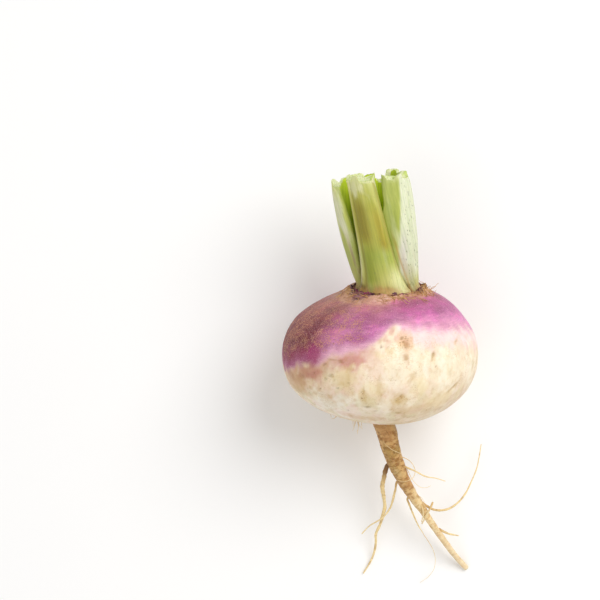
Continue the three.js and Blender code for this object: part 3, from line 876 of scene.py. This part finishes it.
def bulb_and_taproot(material):
    rows, bulb, skin = bulb_body()
    steps, root, straight, root_colour = taproot_body()
    n_bulb, n_root = len(bulb), len(root)
    crown = uneven(np.array([[0, 0, CROWN_HEIGHT]]))
    points = np.concatenate([bulb, root, crown, ROOT_LINE.at(np.array([1.0]))])
    faces = ring_faces(rows, SKIN_AROUND) + ring_faces(steps, ROOT_AROUND, n_bulb)
    faces += fan_faces(n_bulb - SKIN_AROUND + np.arange(SKIN_AROUND), n_bulb + n_root)
    faces += fan_faces(n_bulb + n_root - ROOT_AROUND + np.arange(ROOT_AROUND), n_bulb + n_root + 1)
    faces += neck_faces(n_bulb)
    zero = np.zeros(n_root + 2)
    ends = [[0, 0, CROWN_HEIGHT], [0, 0, -104.0]]  # middle of the crown, tip of the straight root
    marks = {
        "plant": np.concatenate([skin["plant"], straight, ends]),
        "paint": np.concatenate([skin["paint"], root_colour, [rgb(84, 44, 56), rgb(240, 226, 184)]]),
        "cork": np.concatenate([skin["cork"], zero]),
        "tint": np.concatenate([skin["tint"], zero + 0.3]),
        "stain": np.concatenate([skin["stain"], zero]),
    }
    return make("bulb_with_taproot", to_row(points), faces, marks, material,
                ["bulb_and_taproot"])


# ---- Leaf stalks ---------------------------------------------------------------------------

STALKS = {
    "front": dict(top=70.4, direction=(-98, -105, -112), out=(9.9, 10.5, 10.8),
                  width=(14.8, 12.6, 10.8), flare=6.2, thickness=(3.6, 4.5, 5.4),
                  curl=(0.09, 0.07, 0.05), turn=(0, -3, -6)),
    "right": dict(top=70.0, direction=(-8, -32.5, -43), out=(9.5, 11.9, 12.4),
                  width=(9.6, 14.5, 11.5), thickness=(4.4, 5.0, 5.6), curl=(0.1, 0.08, 0.06),
                  turn=(0, -5, -10)),
    "back_right": dict(top=68.6, direction=(50, 43, 36), out=(8.4, 10.6, 11.6),
                       width=(8.4, 9.2, 9.4), thickness=(4.4, 4.8, 5.2), curl=(0.1, 0.08, 0.06),
                       turn=(0, 3, 6)),
    "back": dict(top=67.0, direction=(110, 109, 108), out=(8.2, 10.2, 11.2),
                 width=(8.4, 9.4, 9.8), thickness=(4.2, 4.8, 5.4), curl=(0.1, 0.08, 0.06),
                 turn=(0, 0, 0)),
    "left": dict(top=67.4, direction=(172, 180, 180), out=(9.0, 12.0, 11.7),
                 width=(9.0, 14.0, 10.0), thickness=(4.2, 4.6, 5.0), curl=(0.1, 0.15, 0.08),
                 turn=(0, -6, -24)),
    "inner_front": dict(top=68.8, direction=(-90, -80, -64), out=(2.4, 4.0, 6.2),
                        width=(6.4, 6.8, 7.2), thickness=(3.2, 3.6, 4.0), curl=(0.05, 0.05, 0.05),
                        turn=(0, 0, 0)),
    "inner_back": dict(top=65.0, direction=(90, 108, 128), out=(2.4, 3.2, 3.6),
                       width=(6.4, 6.3, 6.2), thickness=(3.2, 3.6, 4.0), curl=(0.05, 0.05, 0.05),
                       turn=(0, 0, 0)),
}


def bow(knots, t):
    """A value from its three knots: base, middle and top."""
    a, b, c = knots
    return a * (1 - t) * (1 - 2 * t) + 4 * b * t * (1 - t) + c * t * (2 * t - 1)


def stalk_width(s, t):
    return bow(s["width"], t) + s.get("flare", 0) * (1 - np.maximum(t, 0)) ** 8


def stalk_point(s, t, across, off, lift):
    """A point of a stalk: t up its length, across its width and off its middle sheet, in mm."""
    curl = bow(s["curl"], t)
    direction = bow(s["direction"], t)
    radius = 1 / curl + off
    x, y = radius * np.cos(across * curl) - 1 / curl, radius * np.sin(across * curl)
    a = np.radians(direction + bow(s["turn"], t))
    sx, sy = x * np.cos(a) - y * np.sin(a), x * np.sin(a) + y * np.cos(a)
    out = bow(s["out"], t)
    d = np.radians(direction)
    mx = lerp(BUNCH_BASE[0], BUNCH_TOP[0], t) + out * np.cos(d) + sx
    my = out * np.sin(d) + sy
    z = lerp(STALK_BASE_Z, s["top"], t) + 0.06 * t * mx + lift
    return np.stack([mx, my, z], -1)


def keel(t):
    """Where the right stalk's edge between its smooth and its ribbed side runs."""
    return bow((-1.5, -0.65, -0.16), t)


def stalk_section(s, name, t, a):
    """(across, off) of the stalk's skin at angle a round its section, ribbed outside and
    hollowed into a channel inside towards the top."""
    thick = bow(s["thickness"], t)
    across = stalk_width(s, t) / 2 * np.cos(a)
    tuck = np.zeros(len(t))
    if name == "right":
        tuck = smooth(0.8, 0.6, t) * smooth(0.0, 0.12, t) * np.maximum(0, -np.cos(a))
    across = across - 1.7 * tuck
    back = 0.56 * thick * np.maximum(0, np.sin(a)) ** 0.85
    front = 0.44 * thick * np.maximum(0, -np.sin(a)) ** 0.6
    share = np.cos(a)
    middle = np.clip(1 - share**2, 0, 1)
    wave = fbm(np.column_stack([share * 6.0, 0.6 * t, 0 * t + len(name)]), 3, 103)
    ribs = RIBBING[name] * wave * middle**0.4 * smooth(-0.02, 0.15, t)
    if name == "right":
        edge = keel(t)
        ribs += 0.6 * ridge(share, edge, 0.14) - 0.5 * smooth(0.0, -0.5, share - edge)
        ribs += 0.2 * np.cos(2 * math.pi * share * 3.6) * smooth(0.0, 0.2, share - edge) * middle
    if name == "front":
        ribs += 0.5 * ridge(share, -0.8, 0.1) - 0.35 * ridge(share, -0.6, 0.1)
    channel = smooth(0.25, 0.9, t) * np.where(thick > 4.2, 1.5, 0.8) * middle
    foot = 1.5 * smooth(0.03, -0.05, t) - 1.3 * tuck**2
    off = np.where(np.sin(a) > 0, back + foot + ribs * smooth(0.0, 0.4, np.sin(a)),
                   -front + channel - 1.3 * tuck**2)
    return across, off


RIBBING = {"front": 0.2, "right": 0.3, "back_right": 0.5, "back": 0.5, "left": 0.7,
           "inner_front": 0.3, "inner_back": 0.3}


def stalk_paint(name, share, t, inner, p):
    """share runs -1 to 1 across the stalk's width; inner is 1 on the side in the bunch."""
    long = fbm(p * np.array([0.55, 0.55, 0.06]), 4, 101 + len(name))
    green = ramp(t, [(0, (222, 208, 146)), (0.06, (194, 192, 100)), (0.3, (170, 180, 82)),
                     (0.7, (188, 194, 96)), (0.94, (206, 210, 122)), (1, (222, 224, 160))])
    lines = 0.2 if name == "front" else 0.55
    green = wash(green, (222, 226, 178), lines * smooth(0.0, 0.35, long))
    cloud = fbm(p * np.array([0.3, 0.3, 0.12]), 3, 107)
    green = wash(green, (160, 172, 70), 0.6 * smooth(0.0, 0.35, cloud))
    strokes = []
    if name == "front":
        strokes = [
            (ridge(share, -0.82, 0.10), (214, 208, 160), 0.8),
            (ridge(share, -0.60, 0.07) * smooth(0.95, 0.7, t), (150, 124, 58), 0.7),
            (ridge(share, -0.26, 0.4) * smooth(0.34, 0.5, t + 0.1 * cloud) * smooth(0.9, 0.7, t),
             (120, 98, 0), 0.98),
            (ridge(share, -0.26, 0.3) * smooth(0.4, 0.52, t) * smooth(0.86, 0.7, t), (84, 60, 0), 0.9),
            (ridge(share, 0.62, 0.26) * smooth(0.32, 0.44, t) * smooth(0.84, 0.6, t),
             (156, 130, 26), 0.9),
            (ridge(share, -0.3, 0.35) * smooth(0.02, 0.12, t) * smooth(0.52, 0.34, t),
             (142, 152, 50), 0.85),
            (smooth(0.3, 0.5, t) * smooth(1.0, 0.85, t), (184, 178, 70), 0.5),
            (ridge(share, 0.55, 0.4) * smooth(0.2, 0.02, t), (224, 220, 158), 0.7),
            (ridge(share, 0.93, 0.05), (170, 160, 84), 0.7),
            (smooth(0.1, 0.0, t + 0.06 * long), (176, 164, 84), 0.7),
            (smooth(0.14, 0.03, t + 0.2 * cloud) * smooth(0.1, -0.6, share), (96, 76, 18), 0.9),
            (smooth(0.03, -0.02, t + 0.1 * long), (168, 120, 56), 0.7),
            (smooth(0.28, 0.1, t) * ridge(share, 0.7, 0.25), (226, 228, 168), 0.8),
            (smooth(0.88, 0.97, t + 0.25 * cloud) * smooth(0.0, 0.25, cloud), (230, 228, 180), 0.7),
        ]
    if name == "right":
        strokes = [
            # Past the keel the left facet is painted darker green, darkest towards the slit: painted
            # shade on the facet that faces away from the key light.
            (smooth(0.04, -0.4, share - keel(t)), (160, 172, 80), 0.65),
            (smooth(-0.04, 0.1, share - keel(t)) * smooth(0.95, 0.7, share) * smooth(0.02, 0.2, t),
             (228, 232, 206), 0.8),
            (ridge(share, keel(t) + 0.22, 0.2) * smooth(0.1, 0.2, t) * smooth(0.6, 0.35, t),
             (206, 200, 188), 0.8),
            (smooth(0.45, 0.15, t + 0.1 * long) * smooth(-0.1, 0.3, long + cloud),
             (188, 180, 140), 0.6),
            (smooth(0.7, 0.95, share), (196, 214, 112), 0.8),
            (ridge(share, -0.95, 0.05) * smooth(0.6, 0.3, t), (180, 130, 60), 0.6),
        ]
    if name in ("back_right", "back"):
        strokes = [(smooth(0.0, 0.4, long), (224, 228, 200), 0.6)]
    if name == "left":
        strokes = [
            (smooth(0.2, 0.6, t) * smooth(-0.2, 0.3, long), (220, 220, 184), 0.8),
            (smooth(0.5, 0.1, t), (170, 172, 104), 0.5),
            (smooth(0.62, 0.3, t) * smooth(0.08, 0.3, long), (138, 98, 72), 0.6),
        ]
    if name == "inner_front":
        # The inner front stalk lies in shade in the slit and is painted brighter yellow-green: partly
        # its own bright green, partly painted light.
        strokes = [(smooth(0.2, 0.5, t), (222, 238, 60), 0.97)]
    for where, colour, much in strokes:
        green = wash(green, colour, much * where)
    inside = ramp(t, [(0, (170, 180, 90)), (0.5, (168, 184, 36)), (1, (190, 210, 48))])
    colour = lerp(green, inside, inner[:, None])
    foot = smooth(0.05, -0.02, t + 0.05 * long)
    return wash(colour, (186, 152, 96), (0.45 if name == "front" else 0.7) * foot)


def leaf_stalk(name, material):
    s = STALKS[name]
    AROUND, UP = 96, 72
    a = np.linspace(0, 2 * math.pi, AROUND, endpoint=False)
    tt, aa = (g.ravel() for g in np.meshgrid(np.linspace(-0.045, 1, UP), a, indexing="ij"))
    across, off = stalk_section(s, name, tt, aa)
    share = 2 * across / stalk_width(s, tt)
    torn = fbm(np.column_stack([across * 0.35, off * 0.3, 0 * tt + len(name)]), 4, 111)
    torn += 0.35 * np.sign(torn) * smooth(0.02, 0.08, np.abs(torn)) - 0.15
    lift = torn * smooth(0.94, 1.0, tt) * 1.9
    rings = stalk_point(s, tt, across, off, lift)
    inner = smooth(0.1, -0.35, np.sin(aa)) * smooth(0.1, 0.4, tt)
    colour = stalk_paint(name, share, tt, inner, np.column_stack([across, off, tt * STALK_LENGTH]))
    fibre = np.column_stack([across, off + 9 * (np.sin(aa) < 0), tt * STALK_LENGTH + 60 * len(name)])
    cut = np.zeros(len(tt))
    dashes = np.full(len(tt), 1.0 if name in ("right", "back_right") else 0.3) * (1 - inner)
    if name == "right":
        dashes *= smooth(0.0, 0.15, share - keel(tt))
    rows = [rings.reshape(UP, AROUND, 3)]
    marks = {"paint": [colour], "fibre": [fibre], "cut": [cut], "dashes": [dashes]}
    top = slice((UP - 1) * AROUND, UP * AROUND)
    cut_face = ((0.985, 0.03), (0.9, 0.0), (0.75, -0.15), (0.5, -0.3), (0.28, -0.2), (0.1, -0.25))
    for shrink, rise in cut_face:
        u, v = across[top] * shrink, lerp(0.15, off[top], shrink)
        spot = fbm(np.column_stack([u, v, 0 * u]) * 0.8, 3, 121)
        ring = stalk_point(s, np.ones(AROUND), u, v, lift[top] * shrink + rise + 0.25 * spot)
        rows.append(ring[None])
        flesh = wash(rgb(226, 230, 180), (190, 206, 112), smooth(-0.25, 0.3, spot))
        marks["paint"].append(flesh)
        marks["fibre"].append(np.column_stack([u, v, 0 * u + 90]))
        marks["cut"].append(np.ones(AROUND))
        marks["dashes"].append(np.zeros(AROUND))
    rings = np.concatenate(rows)
    marks = {k: np.concatenate(v).reshape(len(rings), AROUND, -1) for k, v in marks.items()}
    parts = Parts()
    parts.loft(rings, marks)
    return parts.finish("stalk_" + name, material, ["leaf_stalk_" + name])


# ---- Crown: torn scales and fibres ---------------------------------------------------------


def torn_scale(parts, degrees, ring, width, height, lean, seed, colours):
    """A curled, ragged scrap that stands on the crown; lean above 0 leans it outwards."""
    ACROSS, UP = 18, 9
    u = np.linspace(-1, 1, ACROSS)
    uu, vv = np.meshgrid(u, np.linspace(0, 1, UP))
    ragged = noise(np.column_stack([u * 1.7, 0 * u, 0 * u + seed]), seed)
    ragged += 0.5 * noise(np.column_stack([u * 5.0, 0 * u, 0 * u + seed]), seed + 1)
    vv = vv * np.clip(np.sqrt(1 - 0.97 * u**4) * (0.8 + 0.35 * ragged), 0.12, 1.2)[None]
    out = ring + lean * height * vv**1.4 + 0.35 * np.sin(2.4 * uu + seed)
    a = np.radians(degrees) + uu * (width / 2) * (1 - 0.15 * vv) / ring
    sheet = np.stack([CROWN_SHIFT + out * np.cos(a), out * np.sin(a),
                      CROWN_HEIGHT - 0.9 + height * vv * (1 - 0.4 * abs(lean))], -1)
    outward = np.stack([np.cos(a), np.sin(a), 0 * a], -1)
    thick = 0.4 * (1 - 0.75 * vv)[..., None]
    loop = np.concatenate([sheet + outward * thick, (sheet - outward * thick)[:, ::-1]], 1)
    mark = np.concatenate([vv, vv[:, ::-1]], 1)
    low, high = (rgb(*c) for c in colours)
    spot = fbm(loop.reshape(-1, 3) * 0.8, 3, 131 + seed)
    paint = lerp(low, high, smooth(0.1, 1.0, mark.ravel() + 1.2 * spot)[:, None])
    parts.loft(loop, {"paint": paint.reshape(UP, -1, 3)})


SCALES = [
    ("1", -174, 13.2, 6.4, 2.4, 0.3, ((78, 34, 54), (132, 78, 88))),
    ("2", -22, 13.0, 6.6, 2.8, 0.25, ((92, 26, 52), (146, 58, 84))),
    ("3", 28, 13.2, 7.2, 2.4, 0.3, ((100, 46, 66), (176, 118, 108))),
    ("4", 76, 13.2, 6.4, 2.8, 0.3, ((88, 34, 56), (138, 68, 90))),
    ("5", 122, 13.2, 7.4, 2.2, 0.3, ((96, 46, 62), (176, 126, 102))),
]


def leaf_scales(material):
    for k, (name, degrees, ring, width, height, lean, colours) in enumerate(SCALES):
        parts = Parts()
        torn_scale(parts, degrees, ring, width, height, lean, 2 * k + 1, colours)
        parts.finish("scale_" + name, material, ["leaf_scale_" + name])


def crown_scraps(material):
    """Remnants of the oldest leaves at the foot of the bunch: purple, near black, and dry tan."""
    rng = np.random.default_rng(7)
    parts = Parts()
    near_black, purple = ((74, 32, 48), (126, 66, 78)), ((92, 28, 54), (148, 64, 92))
    dry_tan = (140, 92, 58), (204, 162, 112)
    tones = (near_black, purple, dry_tan)
    for k in range(46):
        degrees = -180 + 360 * (k + 0.8 * rng.random()) / 46
        facing = abs((degrees + 78 + 180) % 360 - 180)
        ring = 12.3 + 2.0 * rng.random()
        tone = tones[rng.choice(3, p=(0.4, 0.25, 0.35))]
        height = rng.uniform(0.9, 2.2) * (0.72 if facing < 28 else 1.0)
        width, lean = rng.uniform(2.4, 6.0), rng.uniform(-0.4, 0.9)
        torn_scale(parts, degrees, ring, width, height, lean, 40 + k, tone)
    parts.finish("crown_scraps", material)


def crown_level(r):
    return np.interp(r, [0, 11, 12.1, 13.6, 14.4, 15.3, 16.1, 17, 18, 20, 22],
                     [26.0, 25.75, 25.45, 25.9, 25.8, 25.4, 24.85, 24.1, 23.25, 22.4, 21.4])


def crown_fibres(material):
    """Dry fibres that lie on the collar, and a few curly ones that stand off it."""
    rng = np.random.default_rng(11)
    parts = Parts()
    for k in range(240):
        a = rng.uniform(0, 2 * math.pi)
        ring = rng.uniform(12.4, 17.4)
        length = rng.uniform(1.6, 5.5)
        # None lies on the dark patch at the left of the crown, partly torn remnants and partly painted
        # shade.
        on_scar_and_shade = abs(math.degrees(a) - 226) < 24 and ring < 16.2
        heading = a + math.pi / 2 + rng.normal(0, 0.55)
        p = ring * np.array([math.cos(a), math.sin(a)])
        path = []
        for j in range(5):
            z = crown_level(np.hypot(*p)) + 0.08 + 0.35 * rng.random() * (j / 4) ** 2
            path.append((p[0] + CROWN_SHIFT, p[1], z))
            heading += rng.normal(0, 0.45)
            p = p + length / 4 * np.array([math.cos(heading), math.sin(heading)])
        size = rng.uniform(0.07, 0.17)
        if on_scar_and_shade:
            continue
        rings, _ = tube(path, (size, 0.5 * size), 5, 0.6, 0.1, k)
        tone = lerp(rgb(170, 120, 66), rgb(224, 186, 130), rng.random())
        parts.loft(rings, {"paint": np.broadcast_to(tone, rings.shape)})
    for k in range(26):
        a = rng.normal(-0.15, 0.5) if k < 16 else rng.uniform(0, 2 * math.pi)
        p = np.array([rng.uniform(14.5, 17.0) * math.cos(a), rng.uniform(14.5, 17.0) * math.sin(a)])
        head = np.array([math.cos(a), math.sin(a), 0.9]) + rng.normal(0, 0.5, 3)
        path = [np.array([p[0] + CROWN_SHIFT, p[1], crown_level(np.hypot(*p)) - 0.3])]
        for _ in range(6):
            head = head / np.linalg.norm(head) + rng.normal(0, 0.55, 3)
            path.append(path[-1] + head * 0.55)
        rings, _ = tube(path, (0.11, 0.07), 5, 0.35, 0.1, k)
        parts.loft(rings, {"paint": np.broadcast_to(rgb(206, 160, 100), rings.shape)})
    parts.finish("crown_fibres", material)


# ---- Side roots ----------------------------------------------------------------------------

SIDE_ROOTS = {
    "left": ([(5.4, 0.2, -43.6), (3.2, 0.7, -45.2), (2.3, 1.3, -47.6), (1.7, 1.9, -50.7),
         (1.1, 2.9, -54.1), (1.7, 4.2, -59.7), (2.0, 5.5, -64.3), (1.2, 6.2, -67.6),
         (0.2, 7.1, -71.6), (-1.5, 7.8, -76.0), (-1.5, 8.2, -79.3), (-2.3, 8.6, -84.2),
         (-3.5, 8.5, -87.3), (-6.5, 7.5, -92.2)], (1.0, 0.28)),
    "crossing": ([(8.2, 0.8, -50.4), (6.9, 1.3, -52.0), (6.1, 2.2, -55.9), (5.1, 3.0, -60.3),
         (4.4, 3.5, -63.0), (1.9, 3.7, -66.9), (-0.3, 4.5, -69.0), (-3.8, 6.0, -71.7),
         (-7.0, 7.2, -75.5)], (0.5, 0.2)),
    "lower": ([(12.2, 1.6, -57.6), (10.9, 2.5, -59.6), (11.6, 2.9, -61.8), (13.2, 2.9, -66.0),
         (15.0, 3.4, -70.3), (17.0, 3.8, -73.9)], (0.5, 0.16)),
    "arc": ([(16.4, 1.9, -60.6), (18.6, 2.4, -62.4), (21.4, 3.2, -64.1), (24.4, 4.0, -64.6),
         (27.3, 5.2, -64.3), (30.3, 6.7, -62.8), (33.4, 8.8, -59.9), (36.2, 12.1, -55.5),
         (38.5, 15.1, -50.7), (39.6, 17.6, -46.3), (40.4, 20.2, -42.4)], (0.5, 0.17)),
    "upper": ([(7.6, 0.1, -43.8), (9.5, -0.1, -45.2), (13.8, -0.4, -47.2), (18.2, -0.6, -49.4),
         (21.7, -0.5, -50.0), (25.6, -0.6, -51.2)], (0.4, 0.16)),
    "tip": ([(23.2, 3.9, -72.4), (25.0, 4.3, -73.4), (26.9, 4.7, -74.4), (31.2, 5.8, -75.7)],
        (0.6, 0.22)),
}

# Points and radius of the finest roots, too thin for the part itself.
HAIRS = [
    ([(7.2, -0.8, -40.8), (8.9, -0.9, -41.4), (11.4, -1.2, -42.6), (13.1, -1.6, -44.5),
      (13.8, -1.9, -47.0), (13.1, -2.3, -49.1), (11.1, -2.6, -50.4), (9.4, -2.8, -50.8),
      (6.9, -1.9, -50.4)], 0.15),
    ([(8.6, 0.8, -44.0), (10.2, 0.7, -45.7), (11.4, 0.5, -48.2), (13.4, 0.1, -51.7),
      (16.3, 0.0, -54.0), (18.3, 0.3, -54.1), (20.0, 0.8, -53.5)], 0.13),
    ([(16.6, 3.7, -73.0), (17.0, 3.8, -73.9), (19.4, 4.0, -77.8), (21.3, 4.3, -81.6),
      (22.0, 4.6, -85.9), (21.3, 4.8, -89.6), (19.4, 5.3, -92.5), (16.2, 6.2, -95.4)], 0.12),
    ([(20.8, 0.9, -60.2), (19.8, 0.4, -62.6), (18.4, 0.2, -65.1), (17.4, 0.3, -67.3),
      (16.6, 1.2, -69.2)], 0.42),
    ([(15.6, 0.3, -60.0), (16.7, -0.1, -62.4), (17.1, 0.0, -65.0), (16.4, 0.6, -68.2)], 0.34),
    ([(0.2, -1.6, -33.0), (1.2, -3.1, -34.2), (2.8, -4.0, -35.8), (4.8, -4.1, -37.4),
      (7.2, -3.3, -38.8), (8.6, -1.2, -40.0)], 0.14),
    ([(14.8, 1.0, -57.5), (16.4, 1.2, -58.6), (17.4, 1.5, -60.3)], 0.12),
    ([(5.2, 2.6, -61.2), (5.9, 2.9, -58.9), (6.1, 3.3, -58.1), (5.4, 3.8, -57.0)], 0.1),
]


def under_tufts():
    """Short hairs that hang in small tufts from the underside of the bulb."""
    rng = np.random.default_rng(5)
    hairs = []
    for degrees, height, count, length in ((-32, -24.6, 7, 4.5), (-46, -21.5, 4, 2.4), (100, -24, 4, 3),
                                           (-150, -24.5, 5, 3.5), (160, -20, 3, 2.5)):
        for _ in range(count):
            a = math.radians(degrees - 90 + rng.normal(0, 3.5))
            share = 1 - (abs(height) / BULB_HALF_HEIGHT) ** LOWER_SQUARENESS
            r = BULB_RADIUS * share ** (1 / LOWER_SQUARENESS) - 0.5
            start = np.array([r * math.cos(a), r * math.sin(a), height + 1.4])
            head = np.array([math.cos(a) * 0.5, math.sin(a) * 0.5, -1]) + rng.normal(0, 0.35, 3)
            path = [start]
            for _ in range(4):
                head = head / np.linalg.norm(head) + rng.normal(0, 0.3, 3)
                path.append(path[-1] + head * length * rng.uniform(0.6, 1.1) / 4)
            hairs.append((path, rng.uniform(0.07, 0.11)))
    return hairs


def side_roots(material):
    for name, (points, radius) in SIDE_ROOTS.items():
        parts = Parts()
        rings, t = tube(points, radius, 12, 0.5, 0.18, len(name))
        tone = wash(rgb(212, 172, 110), (240, 216, 162), smooth(0, 0.35, t))
        if name == "left":
            tone = lerp(rgb(128, 90, 46), tone, smooth(0.08, 0.2, t)[..., None])
        dark = fbm(rings.reshape(-1, 3) * 0.5, 3, 141).reshape(t.shape)
        tone = wash(tone, (168, 124, 70), 0.4 * smooth(0.15, 0.4, dark))
        parts.loft(rings, {"paint": tone})
        parts.finish("side_root_piece_" + name, material, ["side_root_" + name])


def hair_roots(material):
    parts = Parts()
    for k, (points, size) in enumerate(HAIRS + under_tufts()):
        rings, t = tube(points, (size, 0.6 * size), 6, 0.5, 0.15, k)
        tone = wash(rgb(220, 186, 128), (240, 218, 170), smooth(0, 0.6, t))
        parts.loft(rings, {"paint": tone})
    parts.finish("hair_roots", material)


# ---- Floor and light -----------------------------------------------------------------------


def add_floor():
    size = 1.5
    mesh = bpy.data.meshes.new("floor")
    corners = [(-size, -size, 0), (size, -size, 0), (size, size, 0), (-size, size, 0)]
    mesh.from_pydata(corners, [], [(0, 1, 2, 3)])
    s = Shader("pale_floor")
    place = s.node("ShaderNodeTexCoord").outputs["Object"]
    tone = s.mix(s.noise(place, 6.0, 3.0), tuple(rgb(246, 245, 243)), tuple(rgb(250, 249, 248)))
    mesh.materials.append(s.surface_is(base_color=tone, roughness=0.9))
    floor = bpy.data.objects.new("floor", mesh)
    floor.location.z = -0.0002
    bpy.context.scene.collection.objects.link(floor)


def add_light(name, towards, distance, size, energy, colour=(1, 1, 1)):
    data = bpy.data.lights.new(name, "AREA")
    data.shape, data.size, data.energy, data.color = "DISK", size, energy, colour
    lamp = bpy.data.objects.new(name, data)
    direction = Vector(towards).normalized()
    lamp.location = direction * distance
    lamp.rotation_euler = direction.to_track_quat("Z", "Y").to_euler()
    bpy.context.scene.collection.objects.link(lamp)


def add_lights():
    add_light("key", (0.6, 0.4, 1.0), 1.2, 0.9, 8.6)
    add_light("fill", (-0.4, -0.5, 1.0), 1.4, 1.2, 3.6)
    world = bpy.data.worlds.new("studio")
    world.use_nodes = True
    world.node_tree.nodes["Background"].inputs["Color"].default_value = (1, 1, 1, 1)
    world.node_tree.nodes["Background"].inputs["Strength"].default_value = 0.56
    bpy.context.scene.world = world
    bpy.context.scene.view_settings.view_transform = "Standard"
    bpy.context.scene.view_settings.look = "None"


# ---- The whole -----------------------------------------------------------------------------

bulb_and_taproot(skin_material())
stalk_flesh = stalk_material()
for stalk_name in STALKS:
    leaf_stalk(stalk_name, stalk_flesh)
scale_look, bark_look = scale_material(), root_material()
leaf_scales(scale_look)
crown_scraps(scale_look)
crown_fibres(bark_look)
side_roots(bark_look)
hair_roots(bark_look)
add_floor()
add_lights()
